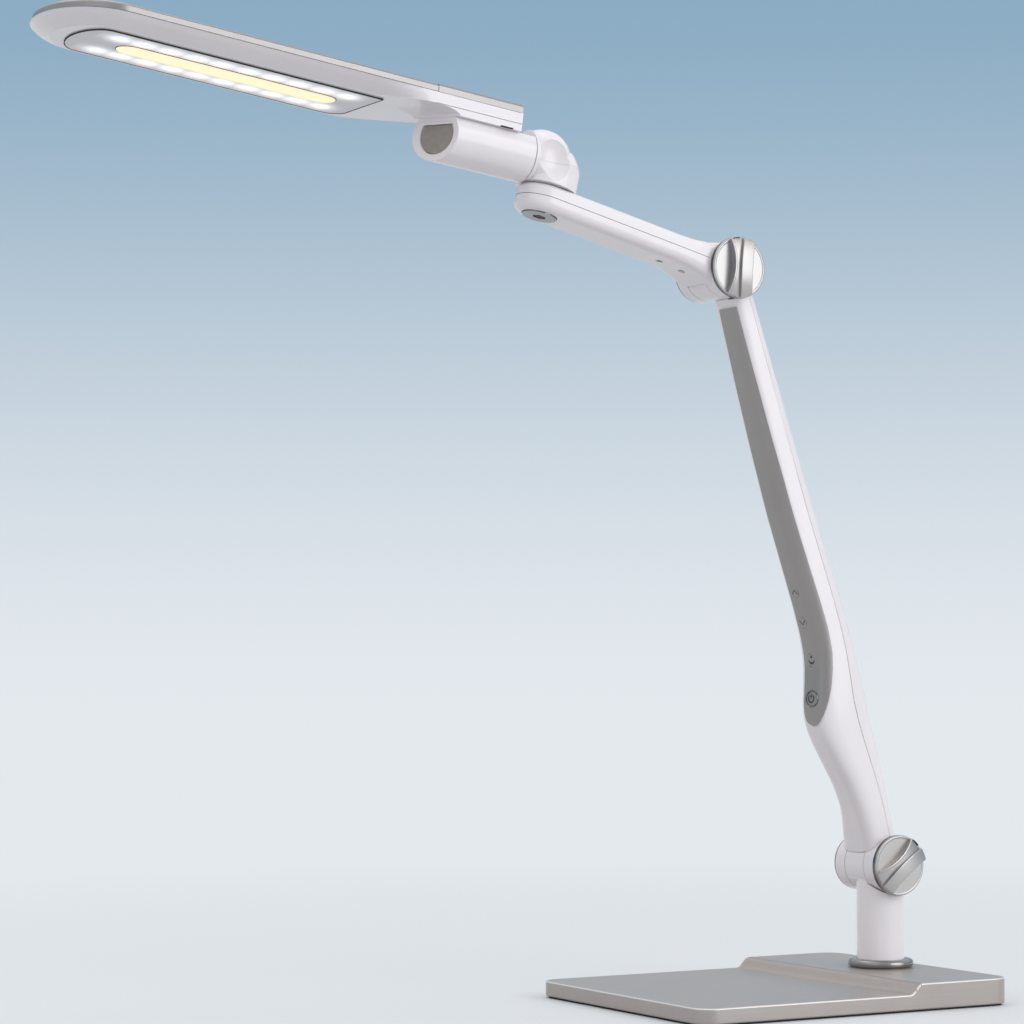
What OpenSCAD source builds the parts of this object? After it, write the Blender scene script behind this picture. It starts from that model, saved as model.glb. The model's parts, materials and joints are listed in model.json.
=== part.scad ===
// Desk lamp with a weighted base, two clamped arm hinges and a long LED head.
// The origin is on the column's axis, on the surface that the base stands on.
// +Z is up, and the arms reach towards -X.

/* [Base] */
// Length of the base along the arms
base_w = 240; // [225:1:280]
// Depth of the base
base_d = 195; // [170:1:230]
// Radius of the base's corners
base_corner_r = 13; // [8:1:20]
// Height of the low plate's top
plate_h = 11; // [10:0.5:14]
// Height of the raised block's top
block_h = 17.8; // [16.5:0.1:22]
// Length of the raised block along the arms
block_w = 73; // [66:1:85]
// Length of the slope between plate and block
step_run = 7.3; // [5:0.1:12]
// Distance from the column's axis to the base's end
column_edge = 32.3; // [30:0.1:36]
// Thickness of the rubber pad
pad_t = 1.2; // [0.8:0.1:2]
// Thickness of the bottom sheet
sheet_t = 1.5; // [1:0.1:2]
// Wall of the base's cover
cover_wall = 2.4; // [1.8:0.1:2.6]

/* [Column] */
// Diameter of the column
column_d = 31.6; // [29:0.1:34]
// Height of the lower hinge's axis
hinge_h = 86; // [76:1:120]
// Diameter of the chrome collar
collar_d = 43.6; // [41:0.1:48]
// Height of the chrome collar
collar_t = 5.6; // [4:0.1:8]
// Diameter of the spigot that turns in the base
base_spigot_d = 22; // [19:0.5:23]

/* [Hinges] */
// Diameter of a hinge barrel
barrel_d = 37; // [35:0.5:40]
// Width of the front cheek
cheek_front_w = 11; // [9:0.5:13]
// Width of the tongue between the cheeks
tongue_w = 20; // [17:0.5:22]
// Width of the rear cheek
cheek_rear_w = 10; // [9:0.5:13]
// Thickness of a friction washer
friction_t = 0.5; // [0.4:0.1:1]
// Distance from the column's axis to the front cheek's face
cheek_front_y = 17; // [16:0.5:19]
// Diameter of a clamping knob
knob_d = 40; // [38:0.5:44]
// Thickness of a knob's disc
knob_t = 4.2; // [3.5:0.1:6]
// Height of a knob's grip bar above its disc
grip_h = 6.4; // [4:0.1:9]
// Diameter of a hinge bolt
bolt_d = 8; // [7:0.5:9]

/* [Lower arm] */
// Distance between the two arm hinges
lower_len = 410; // [360:5:480]
// Lean of the lower arm from upright
lower_lean = 18; // [10:1:25]
// Width of the lower arm
lower_w = 29; // [26:0.5:32]
// Reach of the arm's belly in front of its line
belly = 25; // [22:0.5:28]
// Reach of the arm's back behind its line
back = 19.6; // [18:0.2:22]
// Wall of the arm shells
shell_wall = 2.2; // [1.8:0.1:2.6]
// Thickness of the silver inlay
panel_t = 0.6; // [0.4:0.1:1]
// Diameter of the power button
power_d = 11.5; // [9:0.5:12]
// Diameter of the mode button
mode_d = 9; // [7:0.5:10]
// Diameter of the dimming keys
key_d = 8; // [6:0.5:9]
// Height of a key above the inlay
key_proud = 0.9; // [0.9:0.1:1.3]

/* [Upper arm] */
// Distance from the elbow to the knuckle's axis
upper_len = 140; // [125:1:180]
// Rise of the upper arm above level
upper_rise = 14.3; // [5:0.1:25]
// Width of the upper arm
upper_w = 35; // [33:0.5:38]
// Thickness of the upper arm
upper_t = 17; // [16:0.5:19]
// Diameter of the chrome screw's head
pivot_head_d = 22.5; // [20:0.5:23]

/* [Head] */
// Rise of the head above level
head_rise = 7.6; // [3:0.1:12]
// Height of the tube's axis over the upper arm's middle
tube_lift = 26.5; // [26:0.5:32]
// Diameter of the tube under the neck
tube_d = 33.6; // [32:0.2:36]
// Wall of the tube
tube_wall = 2.8; // [2.2:0.1:3.4]
// Length of the head from its neck end to its tip
head_len = 303; // [280:1:340]
// Width of the head
head_w = 106; // [100:1:116]
// Depth of the white shell's sloping side
shell_h = 7; // [6.5:0.1:9]
// Thickness of the silver cover
cover_h = 5.2; // [4.6:0.1:7]
// Width that the shell's side slopes in
side_run = 17; // [15:0.5:19]
// Distance from the neck end to the warm light strip
strip_root = 105; // [100:1:125]
// Width of the warm light strip
strip_w = 21; // [16:0.5:24]

/* [Hidden] */
$fn = 96;

// General clearances
overrun = 1;
run_gap = 0.05;
part_gap = 0.3;
seat_gap = 0.15;
sweep_gap = 0.8;

// Colours
white = [0.93, 0.92, 0.94];
silver = [0.72, 0.71, 0.69];
chrome_colour = [0.5, 0.5, 0.52];
steel = [0.62, 0.63, 0.65];
rubber_colour = [0.12, 0.12, 0.13];
board_colour = [0.16, 0.36, 0.24];
brass_colour = [0.76, 0.62, 0.34];

// Base: levels and screws
base_x = column_edge - base_w;
sheet_z = pad_t;
weight_z = pad_t + sheet_t + part_gap;
plate_in_z = plate_h - cover_wall;
block_in_z = block_h - cover_wall;
pad_inset = 2;
sheet_inset = 1.6;
base_screw_d = 3;
base_screw_head_d = 6;
base_screw_head_t = 1;
base_screw_boss_d = 8;
base_screw_len = 6;
base_screw_inset = 20;
base_screws_at = [for (x = [base_x + base_screw_inset, column_edge - base_screw_inset],
    y = [-1, 1]) [x, y * (base_d / 2 - base_screw_inset)]];
slope_sag_share = 0.35;
inlet_y = 60;
inlet_w = 11;
inlet_h = 10.5;
inlet_len = 13;
inlet_z = 3.4;
inlet_bore_d = 6.3;
inlet_deep = 11;

// Column: the stack on the swivel axis
thrust_t = 0.5;
post_z = block_h + thrust_t;
bushing_wall = 2;
bushing_z = 9.3;
socket_wall = 3.5;
socket_d = base_spigot_d + 2 * (bushing_wall + socket_wall);
stub_d = 15;
stub_z = 3.6;
swivel_washer_t = 1;
swivel_washer_d = base_spigot_d + 2 * swivel_washer_t;
nut_t = 3.4;
nut_d = 21;
lead_bore_d = 8;
collar_fillet = 1.6;

// Hinges: stations along the hinge axis, the front being -Y
friction_inset = 4;
tongue_y = -cheek_front_y + cheek_front_w + friction_t;
rear_y = tongue_y + tongue_w + friction_t;
back_y = rear_y + cheek_rear_w;
clamp_washer_t = 0.6;
clamp_washer_d = 22;
knob_y = -cheek_front_y - clamp_washer_t;
bolt_end_y = knob_y - knob_t - grip_h / 2;
bolt_head_d = 13;
bolt_head_t = 5;
cap_t = 1.8;
cap_skirt_t = 2.5;
cap_wall = 1.6;
cap_inset = 3;
cap_d = barrel_d - cap_inset;
pocket_d = 17;
pocket_t = bolt_head_t + cap_skirt_t;
bush_wall = 2;
insert_wall = 2.5;
insert_d = bolt_d + 2 * insert_wall;
grip_w = 13;
grip_arch_r = 78;
grip_waist_r = 60;
knob_edge = 1.2;
lower_knob_turn = 52;
elbow_knob_turn = 4;
sweep_d = barrel_d + 2 * sweep_gap;

// Lower arm: station, front reach and back reach, as shares of length, belly and back
lower_shares = [
    [0.030, 0.56, 0.64], [0.060, 0.53, 0.66], [0.100, 0.52, 0.74], [0.145, 0.60, 0.79],
    [0.190, 0.78, 0.85], [0.228, 0.93, 0.90], [0.256, 0.99, 0.95], [0.285, 0.93, 0.98],
    [0.320, 0.70, 1.00], [0.360, 0.48, 1.00], [0.400, 0.39, 1.00], [0.450, 0.37, 0.99],
    [0.520, 0.39, 0.93], [0.600, 0.41, 0.87], [0.700, 0.38, 0.82], [0.800, 0.32, 0.77],
    [0.900, 0.24, 0.72], [0.968, 0.18, 0.68],
];
lower_steps = 44;
lower_power = 3.2;
blend_share = 0.35;
seam_turn = 58;
seam_turn_gap = 1;
front_steps = 18;
back_steps = 8;
half_turn = 180;
full_turn = 360;
shell_start_share = lower_shares[0][0];
shell_end_share = lower_shares[len(lower_shares) - 1][0];
taper_share = 0.94;
flare_share = 0.13;
spine_w = 12;
spine_x = 5;
spine_t = 4.5;
spine_from = 24;
block_half_x_share = 0.31;
frame_half_y_share = 0.31;
root_block_s = 40;
bridge_s = 28;
top_block_len = 40;
top_block_s = lower_len - top_block_len;
panel_steps = 30;
panel_step_power = 1.5;
panel_gap = 0.3;
panel_points = 12;
// Inlay: share of the arm's length, then the turns round the section where it starts and ends
panel_turn_shares = [
    [0.257, 184, 196], [0.260, 172, 208], [0.265, 162, 218], [0.275, 150, 228], [0.290, 140, 238],
    [0.310, 133, 246], [0.340, 134, 252], [0.370, 137, 255], [0.410, 140, 255], [0.480, 144, 252],
    [0.560, 147, 250], [0.650, 150, 248], [0.800, 154, 240], [0.900, 156, 231], [0.934, 157, 227],
];

// Keys: station on the arm as a share of its length, and tilt of the key's own axis
power_share = 0.300;
mode_share = 0.359;
down_share = 0.420;
up_share = 0.472;
power_tilt = 22;
mode_tilt = 13;
power_y = -4;
mode_y = -3.5;
keys_y = -1;
power_turn = 9;
mode_turn = 5;
keys_turn = 0;
key_travel = 0.5;
key_cap_t = 3.8;
key_stem_d = 3;
key_gap = 0.25;
key_seat_gap = 0.1;
switch_w = 6;
switch_t = 3;
board_front_x = 2;
board_t = 1.6;
board_w = 16;
board_margin = 12;
board_post_d = 5;
arm_boss_d = 6;
arm_screw_d = 2.6;
arm_screw_head_d = 5;
arm_screw_head_t = 1.6;
arm_screw_len = 9;
arm_screw_shares = [0.16, 0.62, 0.86];

// Upper arm
arm_low_r = 6;
arm_top_r = 3.2;
arm_seam = 0.6;
seam_gap = 0.1;
arm_wall = 2.4;
flare_len = 46;
flare_shares = [[1, 0], [0.72, 0.06], [0.5, 0.2], [0.26, 0.55]];
flare_start_share = 0.25;
flare_steps = 8;
pivot_d = 8;
pivot_head_t = 2.2;
pivot_head_proud = 0.9;
pivot_washer_t = 0.5;
pivot_washer_d = 30;
pivot_boss_d = 17;
pivot_hex_d = 9;
pivot_hex_t = 1.4;
upper_screw_x = [-29, -47];
upper_screw_head_t = 1.6;
upper_screw_len = 11;

// Knuckle: the bell's radii and heights over the upper arm's top, as shares
bell_d = 39.2;
bell_h = 29;
bell_shares = [[1, 0], [0.985, 0.45], [0.93, 0.6], [0.74, 0.81], [0.44, 0.98], [0, 1]];
ball_d = 39.2;
ball_x = 8;
knuckle_end_x = 17.7;
knuckle_seam = -3;
scoop_r = 22;
scoop_deep = 3.4;
scoop_x = 9;
roll_spigot_d = 16;
spigot_bore_d = 10;
spigot_in = 6;
spigot_out = 33;
roll_ring_d = 34.4;
spigot_ring_t = 2;
spigot_ring_d = 19;

// Head
tube_r = tube_d / 2;
seam_z = 10.8;
face_step = 4.3;
face_z = seam_z + face_step;
lip_z = face_z + shell_h;
top_z = lip_z + cover_h;
tube_x = 20.6;
roll_ring_x = tube_x - part_gap;
tube_end_wall = 9.4;
tube_in_x = tube_x + tube_end_wall;
head_x = 33.3;
tube_under_len = 51;
tube_end_x = head_x + tube_under_len;
tube_skew = 23;
neck_margin = 0.2;
neck_half = tube_r + neck_margin;
neck_len = 46;
near_y = -neck_half;
far_y = near_y + head_w;
mid_y = near_y + head_w / 2;
tip_share = 0.69;
tip_in_share = 0.72;
bend_from = 6;
bend_to = 92;
near_bend_from = 62;
near_bend_to = 105;
far_bend_from = 15;
far_bend_to = 80;
side_shares = [[1, 0], [0.93, 0.05], [0.6, 0.27], [0.28, 0.6], [0.08, 0.9], [0, 1]];
inner_count = 4;
side_steps = 16;
near_power = 1.6;
far_power = 1.3;
tip_steps = 28;
cover_split = 60.7;
recess_margin = 18;
recess_from = strip_root - recess_margin;
recess_in = 4.5;
recess_tip_in = 9.5;
recess_corner = 12;
tray_gap = 0.3;
tray_t = 1.2;
tray_lift = 0.3;
strip_tip = 51;
strip_proud = 1.3;
strip_deep = 1.6;
strip_gap = 0.2;
head_wall = 2;
side_wall = 2.6;
led_board_lift = 4.3;
led_board_t = 1;
led_board_half = 34;
led_board_from = 95;
led_board_tip = 34;
plate_t = 1.2;
plate_half = 41;
led_size = 3;
led_t = 0.9;
led_count = 14;
led_row_y = 19;
led_margin = 10;
cover_wall_t = 1.6;
cover_edge = 0.8;
cover_crown = 3;
cover_side_share = 0.6;
neck_step = 0.6;
plug_in = 13;
plug_x = tube_end_x - plug_in;
plug_t = 3;
boss_d = 6;
boss_half = 38;
boss_from = 104;
boss_tip = 44;
head_screw_d = 2.5;
head_screw_head_d = 4.6;
head_screw_head_t = 1.4;
head_screw_len = 4;

elbow_at = [-lower_len * sin(lower_lean), 0, hinge_h + lower_len * cos(lower_lean)];

// Frames of the moving parts
module on_column_hinge() translate([0, 0, hinge_h]) children();
module on_lower_arm() on_column_hinge() rotate([0, -lower_lean, 0]) children();
module on_elbow() translate(elbow_at) children();
module on_upper_arm() on_elbow() rotate([0, upper_rise, 0]) children();
module on_pivot() on_upper_arm() translate([-upper_len, 0, 0]) children();
module on_head() on_pivot() translate([0, 0, tube_lift]) rotate([0, head_rise - upper_rise, 0]) children();

// Bars and rings along Y and X
module bar_y(d, y0, y1) translate([0, y0, 0]) rotate([-90, 0, 0]) cylinder(d = d, h = y1 - y0);
module bar_x(d, x0, x1) translate([x0, 0, 0]) rotate([0, 90, 0]) cylinder(d = d, h = x1 - x0);
module bar_z(d, z0, z1) translate([0, 0, z0]) cylinder(d = d, h = z1 - z0);
module ring_y(d, hole, y0, y1) difference() {
    bar_y(d, y0, y1);
    bar_y(hole, y0 - overrun, y1 + overrun);
}
module ring_z(d, hole, z0, z1) difference() {
    bar_z(d, z0, z1);
    bar_z(hole, z0 - overrun, z1 + overrun);
}
module box(x0, x1, y0, y1, z0, z1) translate([x0, y0, z0]) cube([x1 - x0, y1 - y0, z1 - z0]);

// A closed solid through rings of points, each end closed by rungs from the first point to the last
function rungs(n) = [for (m = [0:ceil(n / 2) - 2]) each concat([[m, m + 1, n - 1 - m]],
    m + 1 < n - 2 - m ? [[m + 1, n - 2 - m, n - 1 - m]] : [])];
module skin(rings) {
    n = len(rings[0]);
    m = len(rings);
    sides = [for (k = [0:m - 2], i = [0:n - 1]) let (j = (i + 1) % n)
        each [[k * n + i, (k + 1) * n + i, (k + 1) * n + j], [k * n + i, (k + 1) * n + j, k * n + j]]];
    last = [for (f = rungs(n)) [for (i = [2:-1:0]) f[i] + (m - 1) * n]];
    polyhedron(points = [for (r = rings) each r], faces = concat(rungs(n), sides, last));
}

// Rounded rectangle with exact corner arcs
module round_rect(x0, x1, y0, y1, r) {
    translate([x0 + r, y0]) square([x1 - x0 - 2 * r, y1 - y0]);
    translate([x0, y0 + r]) square([x1 - x0, y1 - y0 - 2 * r]);
    for (x = [x0 + r, x1 - r], y = [y0 + r, y1 - r]) translate([x, y]) circle(r = r);
}

// Base
module base_plan(inset) round_rect(base_x + inset, column_edge - inset, -base_d / 2 + inset,
    base_d / 2 - inset, base_corner_r - inset);
module base_profile(low, high, grow) {
    step_x = column_edge - block_w - grow;
    foot_x = step_x - step_run;
    steps = 8;
    slope = [for (i = [0:steps]) let (t = i / steps)
        [foot_x + t * step_run, low + (high - low) * (t - slope_sag_share * sin(half_turn * t) * (1 - t))]];
    polygon(concat([[base_x - overrun, 0]], [[column_edge + overrun, 0]],
        [[column_edge + overrun, high]], [for (i = [steps:-1:0]) slope[i]], [[base_x - overrun, low]]));
}
module base_form(inset, low, high, z0) difference() {
    intersection() {
        linear_extrude(height = high) base_plan(inset);
        rotate([90, 0, 0]) translate([0, 0, -base_d / 2 - overrun])
            linear_extrude(height = base_d + 2 * overrun) base_profile(low, high, -inset);
    }
    box(base_x - overrun, column_edge + overrun, -base_d, base_d, -overrun, z0);
}
module inlet_form(gap) box(column_edge - inlet_len - gap, column_edge + overrun * gap,
    inlet_y - inlet_w / 2 - gap, inlet_y + inlet_w / 2 + gap, inlet_z - gap, inlet_z + inlet_h + gap);

module base_pad() color(rubber_colour) difference() {
    linear_extrude(height = pad_t) base_plan(pad_inset);
    for (p = base_screws_at) translate(p) bar_z(base_screw_head_d + 2 * part_gap, -overrun, pad_t + overrun);
}
module bottom_plate() color(steel) difference() {
    translate([0, 0, sheet_z]) linear_extrude(height = sheet_t) base_plan(cover_wall + part_gap);
    for (p = base_screws_at) translate(p) bar_z(base_screw_d + 2 * seat_gap, 0, plate_h);
    bar_z(nut_d + 2 * sweep_gap, 0, plate_h);
}
module base_cover() color(silver) difference() {
    union() {
        difference() {
            base_form(0, plate_h, block_h, sheet_z);
            base_form(cover_wall, plate_in_z, block_in_z, 0);
        }
        bar_z(socket_d, bushing_z, block_h - cover_wall / 2);
        for (p = base_screws_at) translate(p)
            bar_z(base_screw_boss_d, sheet_z + sheet_t, (p[0] > 0 ? block_in_z : plate_in_z) + cover_wall / 2);
    }
    bar_z(base_spigot_d + 2 * bushing_wall, 0, block_h + overrun);
    for (p = base_screws_at) translate(p) bar_z(base_screw_d, 0, sheet_z + base_screw_len);
    inlet_form(seat_gap);
}
module base_weight() color(steel) difference() {
    base_form(cover_wall + part_gap, plate_in_z - part_gap, block_in_z - part_gap, weight_z);
    bar_z(socket_d + 2 * part_gap, 0, block_h);
    for (p = base_screws_at) translate(p) bar_z(base_screw_boss_d + 2 * part_gap, 0, block_h);
    inlet_form(2 * part_gap);
}
module base_screws() color(steel) for (p = base_screws_at) translate(p) {
    bar_z(base_screw_head_d, sheet_z - base_screw_head_t, sheet_z);
    bar_z(base_screw_d, sheet_z, sheet_z + base_screw_len - part_gap);
}
module dc_inlet() color(rubber_colour) difference() {
    inlet_form(0);
    translate([0, inlet_y, inlet_z + inlet_h / 2]) bar_x(inlet_bore_d, column_edge - inlet_deep, column_edge + overrun);
}

// Column and its swivel
module column_collar() color(chrome_colour) translate([0, 0, block_h]) rotate_extrude() difference() {
    union() {
        translate([column_d / 2 + part_gap, 0]) square([collar_d / 2 - column_d / 2 - part_gap - collar_t / 2, collar_t]);
        translate([collar_d / 2 - collar_t / 2, collar_t / 2]) circle(d = collar_t);
        translate([column_d / 2 + part_gap, 0])
            square([collar_d / 2 - column_d / 2 - part_gap - collar_fillet, collar_t / 2]);
    }
}
module swivel_bushing() color(brass_colour)
    ring_z(base_spigot_d + 2 * bushing_wall, base_spigot_d + 2 * run_gap, bushing_z, block_h);
module thrust_washer() color(brass_colour)
    ring_z(column_d - overrun, base_spigot_d + 2 * part_gap, block_h, post_z);
module column_post() color(white) difference() {
    union() {
        bar_z(column_d, post_z, hinge_h);
        bar_z(base_spigot_d, bushing_z, post_z);
        bar_z(stub_d, stub_z, bushing_z);
        on_column_hinge() bar_y(barrel_d, tongue_y, tongue_y + tongue_w);
    }
    on_column_hinge() {
        bar_y(sweep_d, -barrel_d, tongue_y);
        bar_y(sweep_d, tongue_y + tongue_w, barrel_d);
        bar_y(bolt_d + 2 * bush_wall, -barrel_d, barrel_d);
    }
    bar_z(lead_bore_d, 0, hinge_h - barrel_d / 2 + bush_wall);
}
module swivel_washer() color(steel)
    ring_z(swivel_washer_d, stub_d + 2 * seat_gap, bushing_z - swivel_washer_t, bushing_z);
module swivel_nut() color(steel) difference() {
    translate([0, 0, bushing_z - swivel_washer_t - nut_t]) cylinder(d = nut_d, h = nut_t, $fn = 6);
    bar_z(stub_d, 0, bushing_z);
}

// Hinge hardware, drawn in a hinge's own frame
module hinge_bolt() color(steel) {
    bar_y(bolt_d, bolt_end_y, back_y - pocket_t);
    rotate([-90, 0, 0]) translate([0, 0, back_y - pocket_t]) cylinder(d = bolt_head_d, h = bolt_head_t, $fn = 6);
}
module hinge_bush() color(brass_colour)
    ring_y(bolt_d + 2 * bush_wall, bolt_d + 2 * run_gap, tongue_y, tongue_y + tongue_w);
module friction_washers() color(steel) for (y = [tongue_y - friction_t, tongue_y + tongue_w])
    ring_y(barrel_d - friction_inset, bolt_d + 2 * bush_wall + overrun, y, y + friction_t);
module clamp_washer() color(steel)
    ring_y(clamp_washer_d, bolt_d + 2 * run_gap, knob_y, knob_y + clamp_washer_t);
module rear_cap() color(silver) difference() {
    union() {
        bar_y(cap_d, back_y, back_y + cap_t);
        bar_y(pocket_d - 2 * seat_gap, back_y - cap_skirt_t, back_y);
    }
    bar_y(pocket_d - 2 * cap_wall, back_y - cap_skirt_t - overrun, back_y);
}
module cheek(y0, y1) bar_y(barrel_d, y0, y1);
module cheek_holes() {
    bar_y(bolt_d + 2 * seat_gap, -barrel_d, barrel_d);
    bar_y(pocket_d, back_y - pocket_t, back_y + overrun);
}
module knob(turn) color(silver) rotate([0, turn, 0]) difference() {
    union() {
        rotate([90, 0, 0]) translate([0, 0, -knob_y]) rotate_extrude() {
            square([knob_d / 2 - knob_edge, knob_t]);
            square([knob_d / 2, knob_t - knob_edge]);
            translate([knob_d / 2 - knob_edge, knob_t - knob_edge]) circle(r = knob_edge);
        }
        intersection() {
            bar_y(knob_d - knob_edge, knob_y - knob_t - grip_h, knob_y);
            difference() {
                box(-knob_d / 2, knob_d / 2, knob_y - knob_t - grip_h, knob_y, -knob_d, knob_d);
                for (k = [-1, 1]) translate([k * (grip_w / 2 + grip_waist_r), 0, 0])
                    bar_y(2 * grip_waist_r, knob_y - knob_t - grip_h - overrun, knob_y);
            }
            translate([0, knob_y - knob_t - grip_h + grip_arch_r, 0]) rotate([0, 90, 0])
                cylinder(r = grip_arch_r, h = knob_d, center = true);
        }
    }
    bar_y(insert_d, bolt_end_y - overrun, knob_y + overrun);
}
module knob_insert() color(brass_colour) difference() {
    bar_y(insert_d, bolt_end_y - overrun, knob_y);
    bar_y(bolt_d + 2 * run_gap, bolt_end_y, knob_y + overrun);
}

module lower_bolt() on_lower_arm() hinge_bolt();
module lower_bush() on_column_hinge() hinge_bush();
module lower_friction_washers() on_lower_arm() friction_washers();
module lower_clamp_washer() on_lower_arm() clamp_washer();
module lower_knob() on_column_hinge() knob(lower_knob_turn);
module lower_knob_insert() on_column_hinge() knob_insert();
module lower_rear_cap() on_lower_arm() rear_cap();
module elbow_bolt() on_elbow() hinge_bolt();
module elbow_bush() on_elbow() hinge_bush();
module elbow_friction_washers() on_elbow() friction_washers();
module elbow_clamp_washer() on_elbow() clamp_washer();
module elbow_knob() on_elbow() knob(elbow_knob_turn);
module elbow_knob_insert() on_elbow() knob_insert();
module elbow_rear_cap() on_elbow() rear_cap();

// Lower arm, drawn along +Z from its hinge, the front being -X
function at_share(t, column, i = 0) = i >= len(lower_shares) - 2 || t <= lower_shares[i + 1][0]
    ? let (a = lower_shares[i], b = lower_shares[i + 1], f = (t - a[0]) / (b[0] - a[0]), s = f * f * (3 - 2 * f))
        a[column] + (b[column] - a[column]) * (blend_share * s + (1 - blend_share) * f)
    : at_share(t, column, i + 1);
function front_x(t) = -belly * at_share(t, 1);
function back_x(t) = back * at_share(t, 2);
function half_y(t) = lower_w / 2 * (1 - (1 - taper_share) * t);
function ease(f) = let (g = max(0, min(1, f))) g * g * (3 - 2 * g);
function flare_y(t) = (back_y - lower_w / 2) * (1 - ease(t / flare_share));
function signed_power(v, e) = sign(v) * pow(abs(v), e);
function arm_point(t, a, off) =
    let (x0 = front_x(t), x1 = back_x(t), c = (x0 + x1) / 2, e = 2 / lower_power,
        cy = flare_y(t) / 2, hy = half_y(t) + flare_y(t) / 2)
    [c + ((x1 - x0) / 2 + off) * signed_power(cos(a), e), cy + (hy + off) * signed_power(sin(a), e), t * lower_len];
function shell_ring(t, a0, a1, steps) = concat(
    [for (i = [0:steps]) arm_point(t, a0 + (a1 - a0) * i / steps, 0)],
    [for (i = [steps:-1:0]) arm_point(t, a0 + (a1 - a0) * i / steps, -shell_wall)]);
function step_share(k, n, a, b) = a + (b - a) * k / n;
module arm_shell(a0, a1, steps) skin([for (k = [0:lower_steps])
    shell_ring(step_share(k, lower_steps, shell_start_share, shell_end_share), a0, a1, steps)]);
// Room for both hinges in whatever belongs to the lower arm
module lower_hinge_room(gap) {
    bar_y(barrel_d + 2 * gap, -barrel_d, barrel_d);
    bar_y(sweep_d, tongue_y - friction_t, rear_y);
}
module elbow_room(gap) translate([0, 0, lower_len]) {
    bar_y(barrel_d + 2 * gap, tongue_y - friction_t, rear_y);
    bar_y(sweep_d, -barrel_d, tongue_y - friction_t);
    bar_y(sweep_d, rear_y - friction_t, barrel_d);
}
// A key is a station, a place across, a tilt, a turn to the near side and a diameter
power_key = [power_share, power_y, power_tilt, power_turn, power_d];
mode_key = [mode_share, mode_y, mode_tilt, mode_turn, mode_d];
dimmer_key = [down_share, keys_y, 0, keys_turn, key_d];
brighter_key = [up_share, keys_y, 0, keys_turn, key_d];
all_keys = [power_key, mode_key, dimmer_key, brighter_key];
module on_key(k) translate([front_x(k[0]), k[1], k[0] * lower_len]) rotate([0, 0, k[3]]) rotate([0, -90 + k[2], 0])
    children();
module key_holes() for (k = all_keys) on_key(k) bar_z(k[4] + 2 * key_gap, -key_cap_t - 2 * shell_wall, belly);
switch_x = board_front_x - switch_t;
key_top = panel_gap + panel_t + key_proud;
function key_lean(k) = acos(cos(k[2]) * cos(k[3]));
function key_depth(k) = switch_x - front_x(k[0]);
function stem_depth(k) = key_depth(k) / cos(key_lean(k)) - key_stem_d / 2 * tan(key_lean(k)) - key_travel - key_seat_gap;
function switch_at(k) = [k[1] + key_depth(k) * tan(k[3]), k[0] * lower_len - key_depth(k) * tan(k[2]) / cos(k[3])];
module key(k) color(silver) on_lower_arm() on_key(k) {
    bar_z(k[4], key_top - key_cap_t, key_top);
    bar_z(key_stem_d, -stem_depth(k), key_top - key_cap_t / 2);
}
module arm_screw_axes() for (t = arm_screw_shares) translate([back_x(t), 0, t * lower_len]) children();
module arm_screw() {
    bar_x(arm_screw_head_d, -arm_screw_head_t, 0);
    bar_x(arm_screw_d, -arm_screw_len, -arm_screw_head_t);
}
board_s0 = power_share * lower_len - 2 * board_margin;
board_s1 = up_share * lower_len + board_margin;

module lower_arm_frame() color(white) on_lower_arm() difference() {
    half_x = belly * block_half_x_share;
    half_block = lower_w * frame_half_y_share;
    union() {
        difference() {
            union() {
                cheek(-cheek_front_y, tongue_y - friction_t);
                cheek(rear_y, back_y);
                box(-half_x, half_x, -half_block, tongue_y - friction_t, 0, root_block_s);
                box(-half_x, half_x, -half_block, half_block, spine_from - shell_wall, root_block_s);
                box(-half_x, half_x, half_block, rear_y, 0, bridge_s);
                box(-half_x, half_x, rear_y, rear_y + shell_wall, 0, spine_from);
            }
            bar_y(sweep_d, tongue_y - friction_t, rear_y);
        }
        box(spine_x, spine_x + spine_t, -spine_w / 2, spine_w / 2, spine_from, top_block_s + overrun);
        difference() {
            box(0, spine_x + spine_t, tongue_y, half_block, top_block_s, lower_len);
            elbow_room(-overrun);
        }
        translate([0, 0, lower_len]) bar_y(barrel_d, tongue_y, tongue_y + tongue_w);
        for (s = [board_s0 + board_margin, board_s1 - board_margin]) translate([0, 0, s])
            bar_x(board_post_d, board_front_x + board_t, spine_x + overrun);
        for (t = arm_screw_shares) translate([0, 0, t * lower_len])
            bar_x(arm_boss_d, spine_x + overrun, back_x(t) - shell_wall - part_gap);
    }
    cheek_holes();
    translate([0, 0, lower_len]) bar_y(bolt_d + 2 * bush_wall, -barrel_d, barrel_d);
    arm_screw_axes() bar_x(arm_screw_d, -arm_screw_len, 0);
}
module lower_arm_front() color(white) on_lower_arm() difference() {
    arm_shell(seam_turn, full_turn - seam_turn, front_steps);
    lower_hinge_room(seat_gap);
    elbow_room(seat_gap);
    key_holes();
}
module lower_arm_back() color(white) on_lower_arm() difference() {
    arm_shell(seam_turn_gap - seam_turn, seam_turn - seam_turn_gap, back_steps);
    lower_hinge_room(seat_gap);
    elbow_room(seat_gap);
    arm_screw_axes() {
        bar_x(arm_screw_head_d, -arm_screw_head_t, overrun);
        bar_x(arm_screw_d, -arm_screw_len, 0);
    }
}
module lower_arm_screws() color(steel) on_lower_arm() arm_screw_axes() arm_screw();
module control_board() color(board_colour) on_lower_arm()
    box(board_front_x, board_front_x + board_t, -board_w / 2, board_w / 2, board_s0, board_s1);
module key_switches() color(rubber_colour) on_lower_arm() for (k = all_keys) let (at = switch_at(k))
    box(switch_x, board_front_x, at[0] - switch_w / 2, at[0] + switch_w / 2, at[1] - switch_w / 2, at[1] + switch_w / 2);
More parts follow.
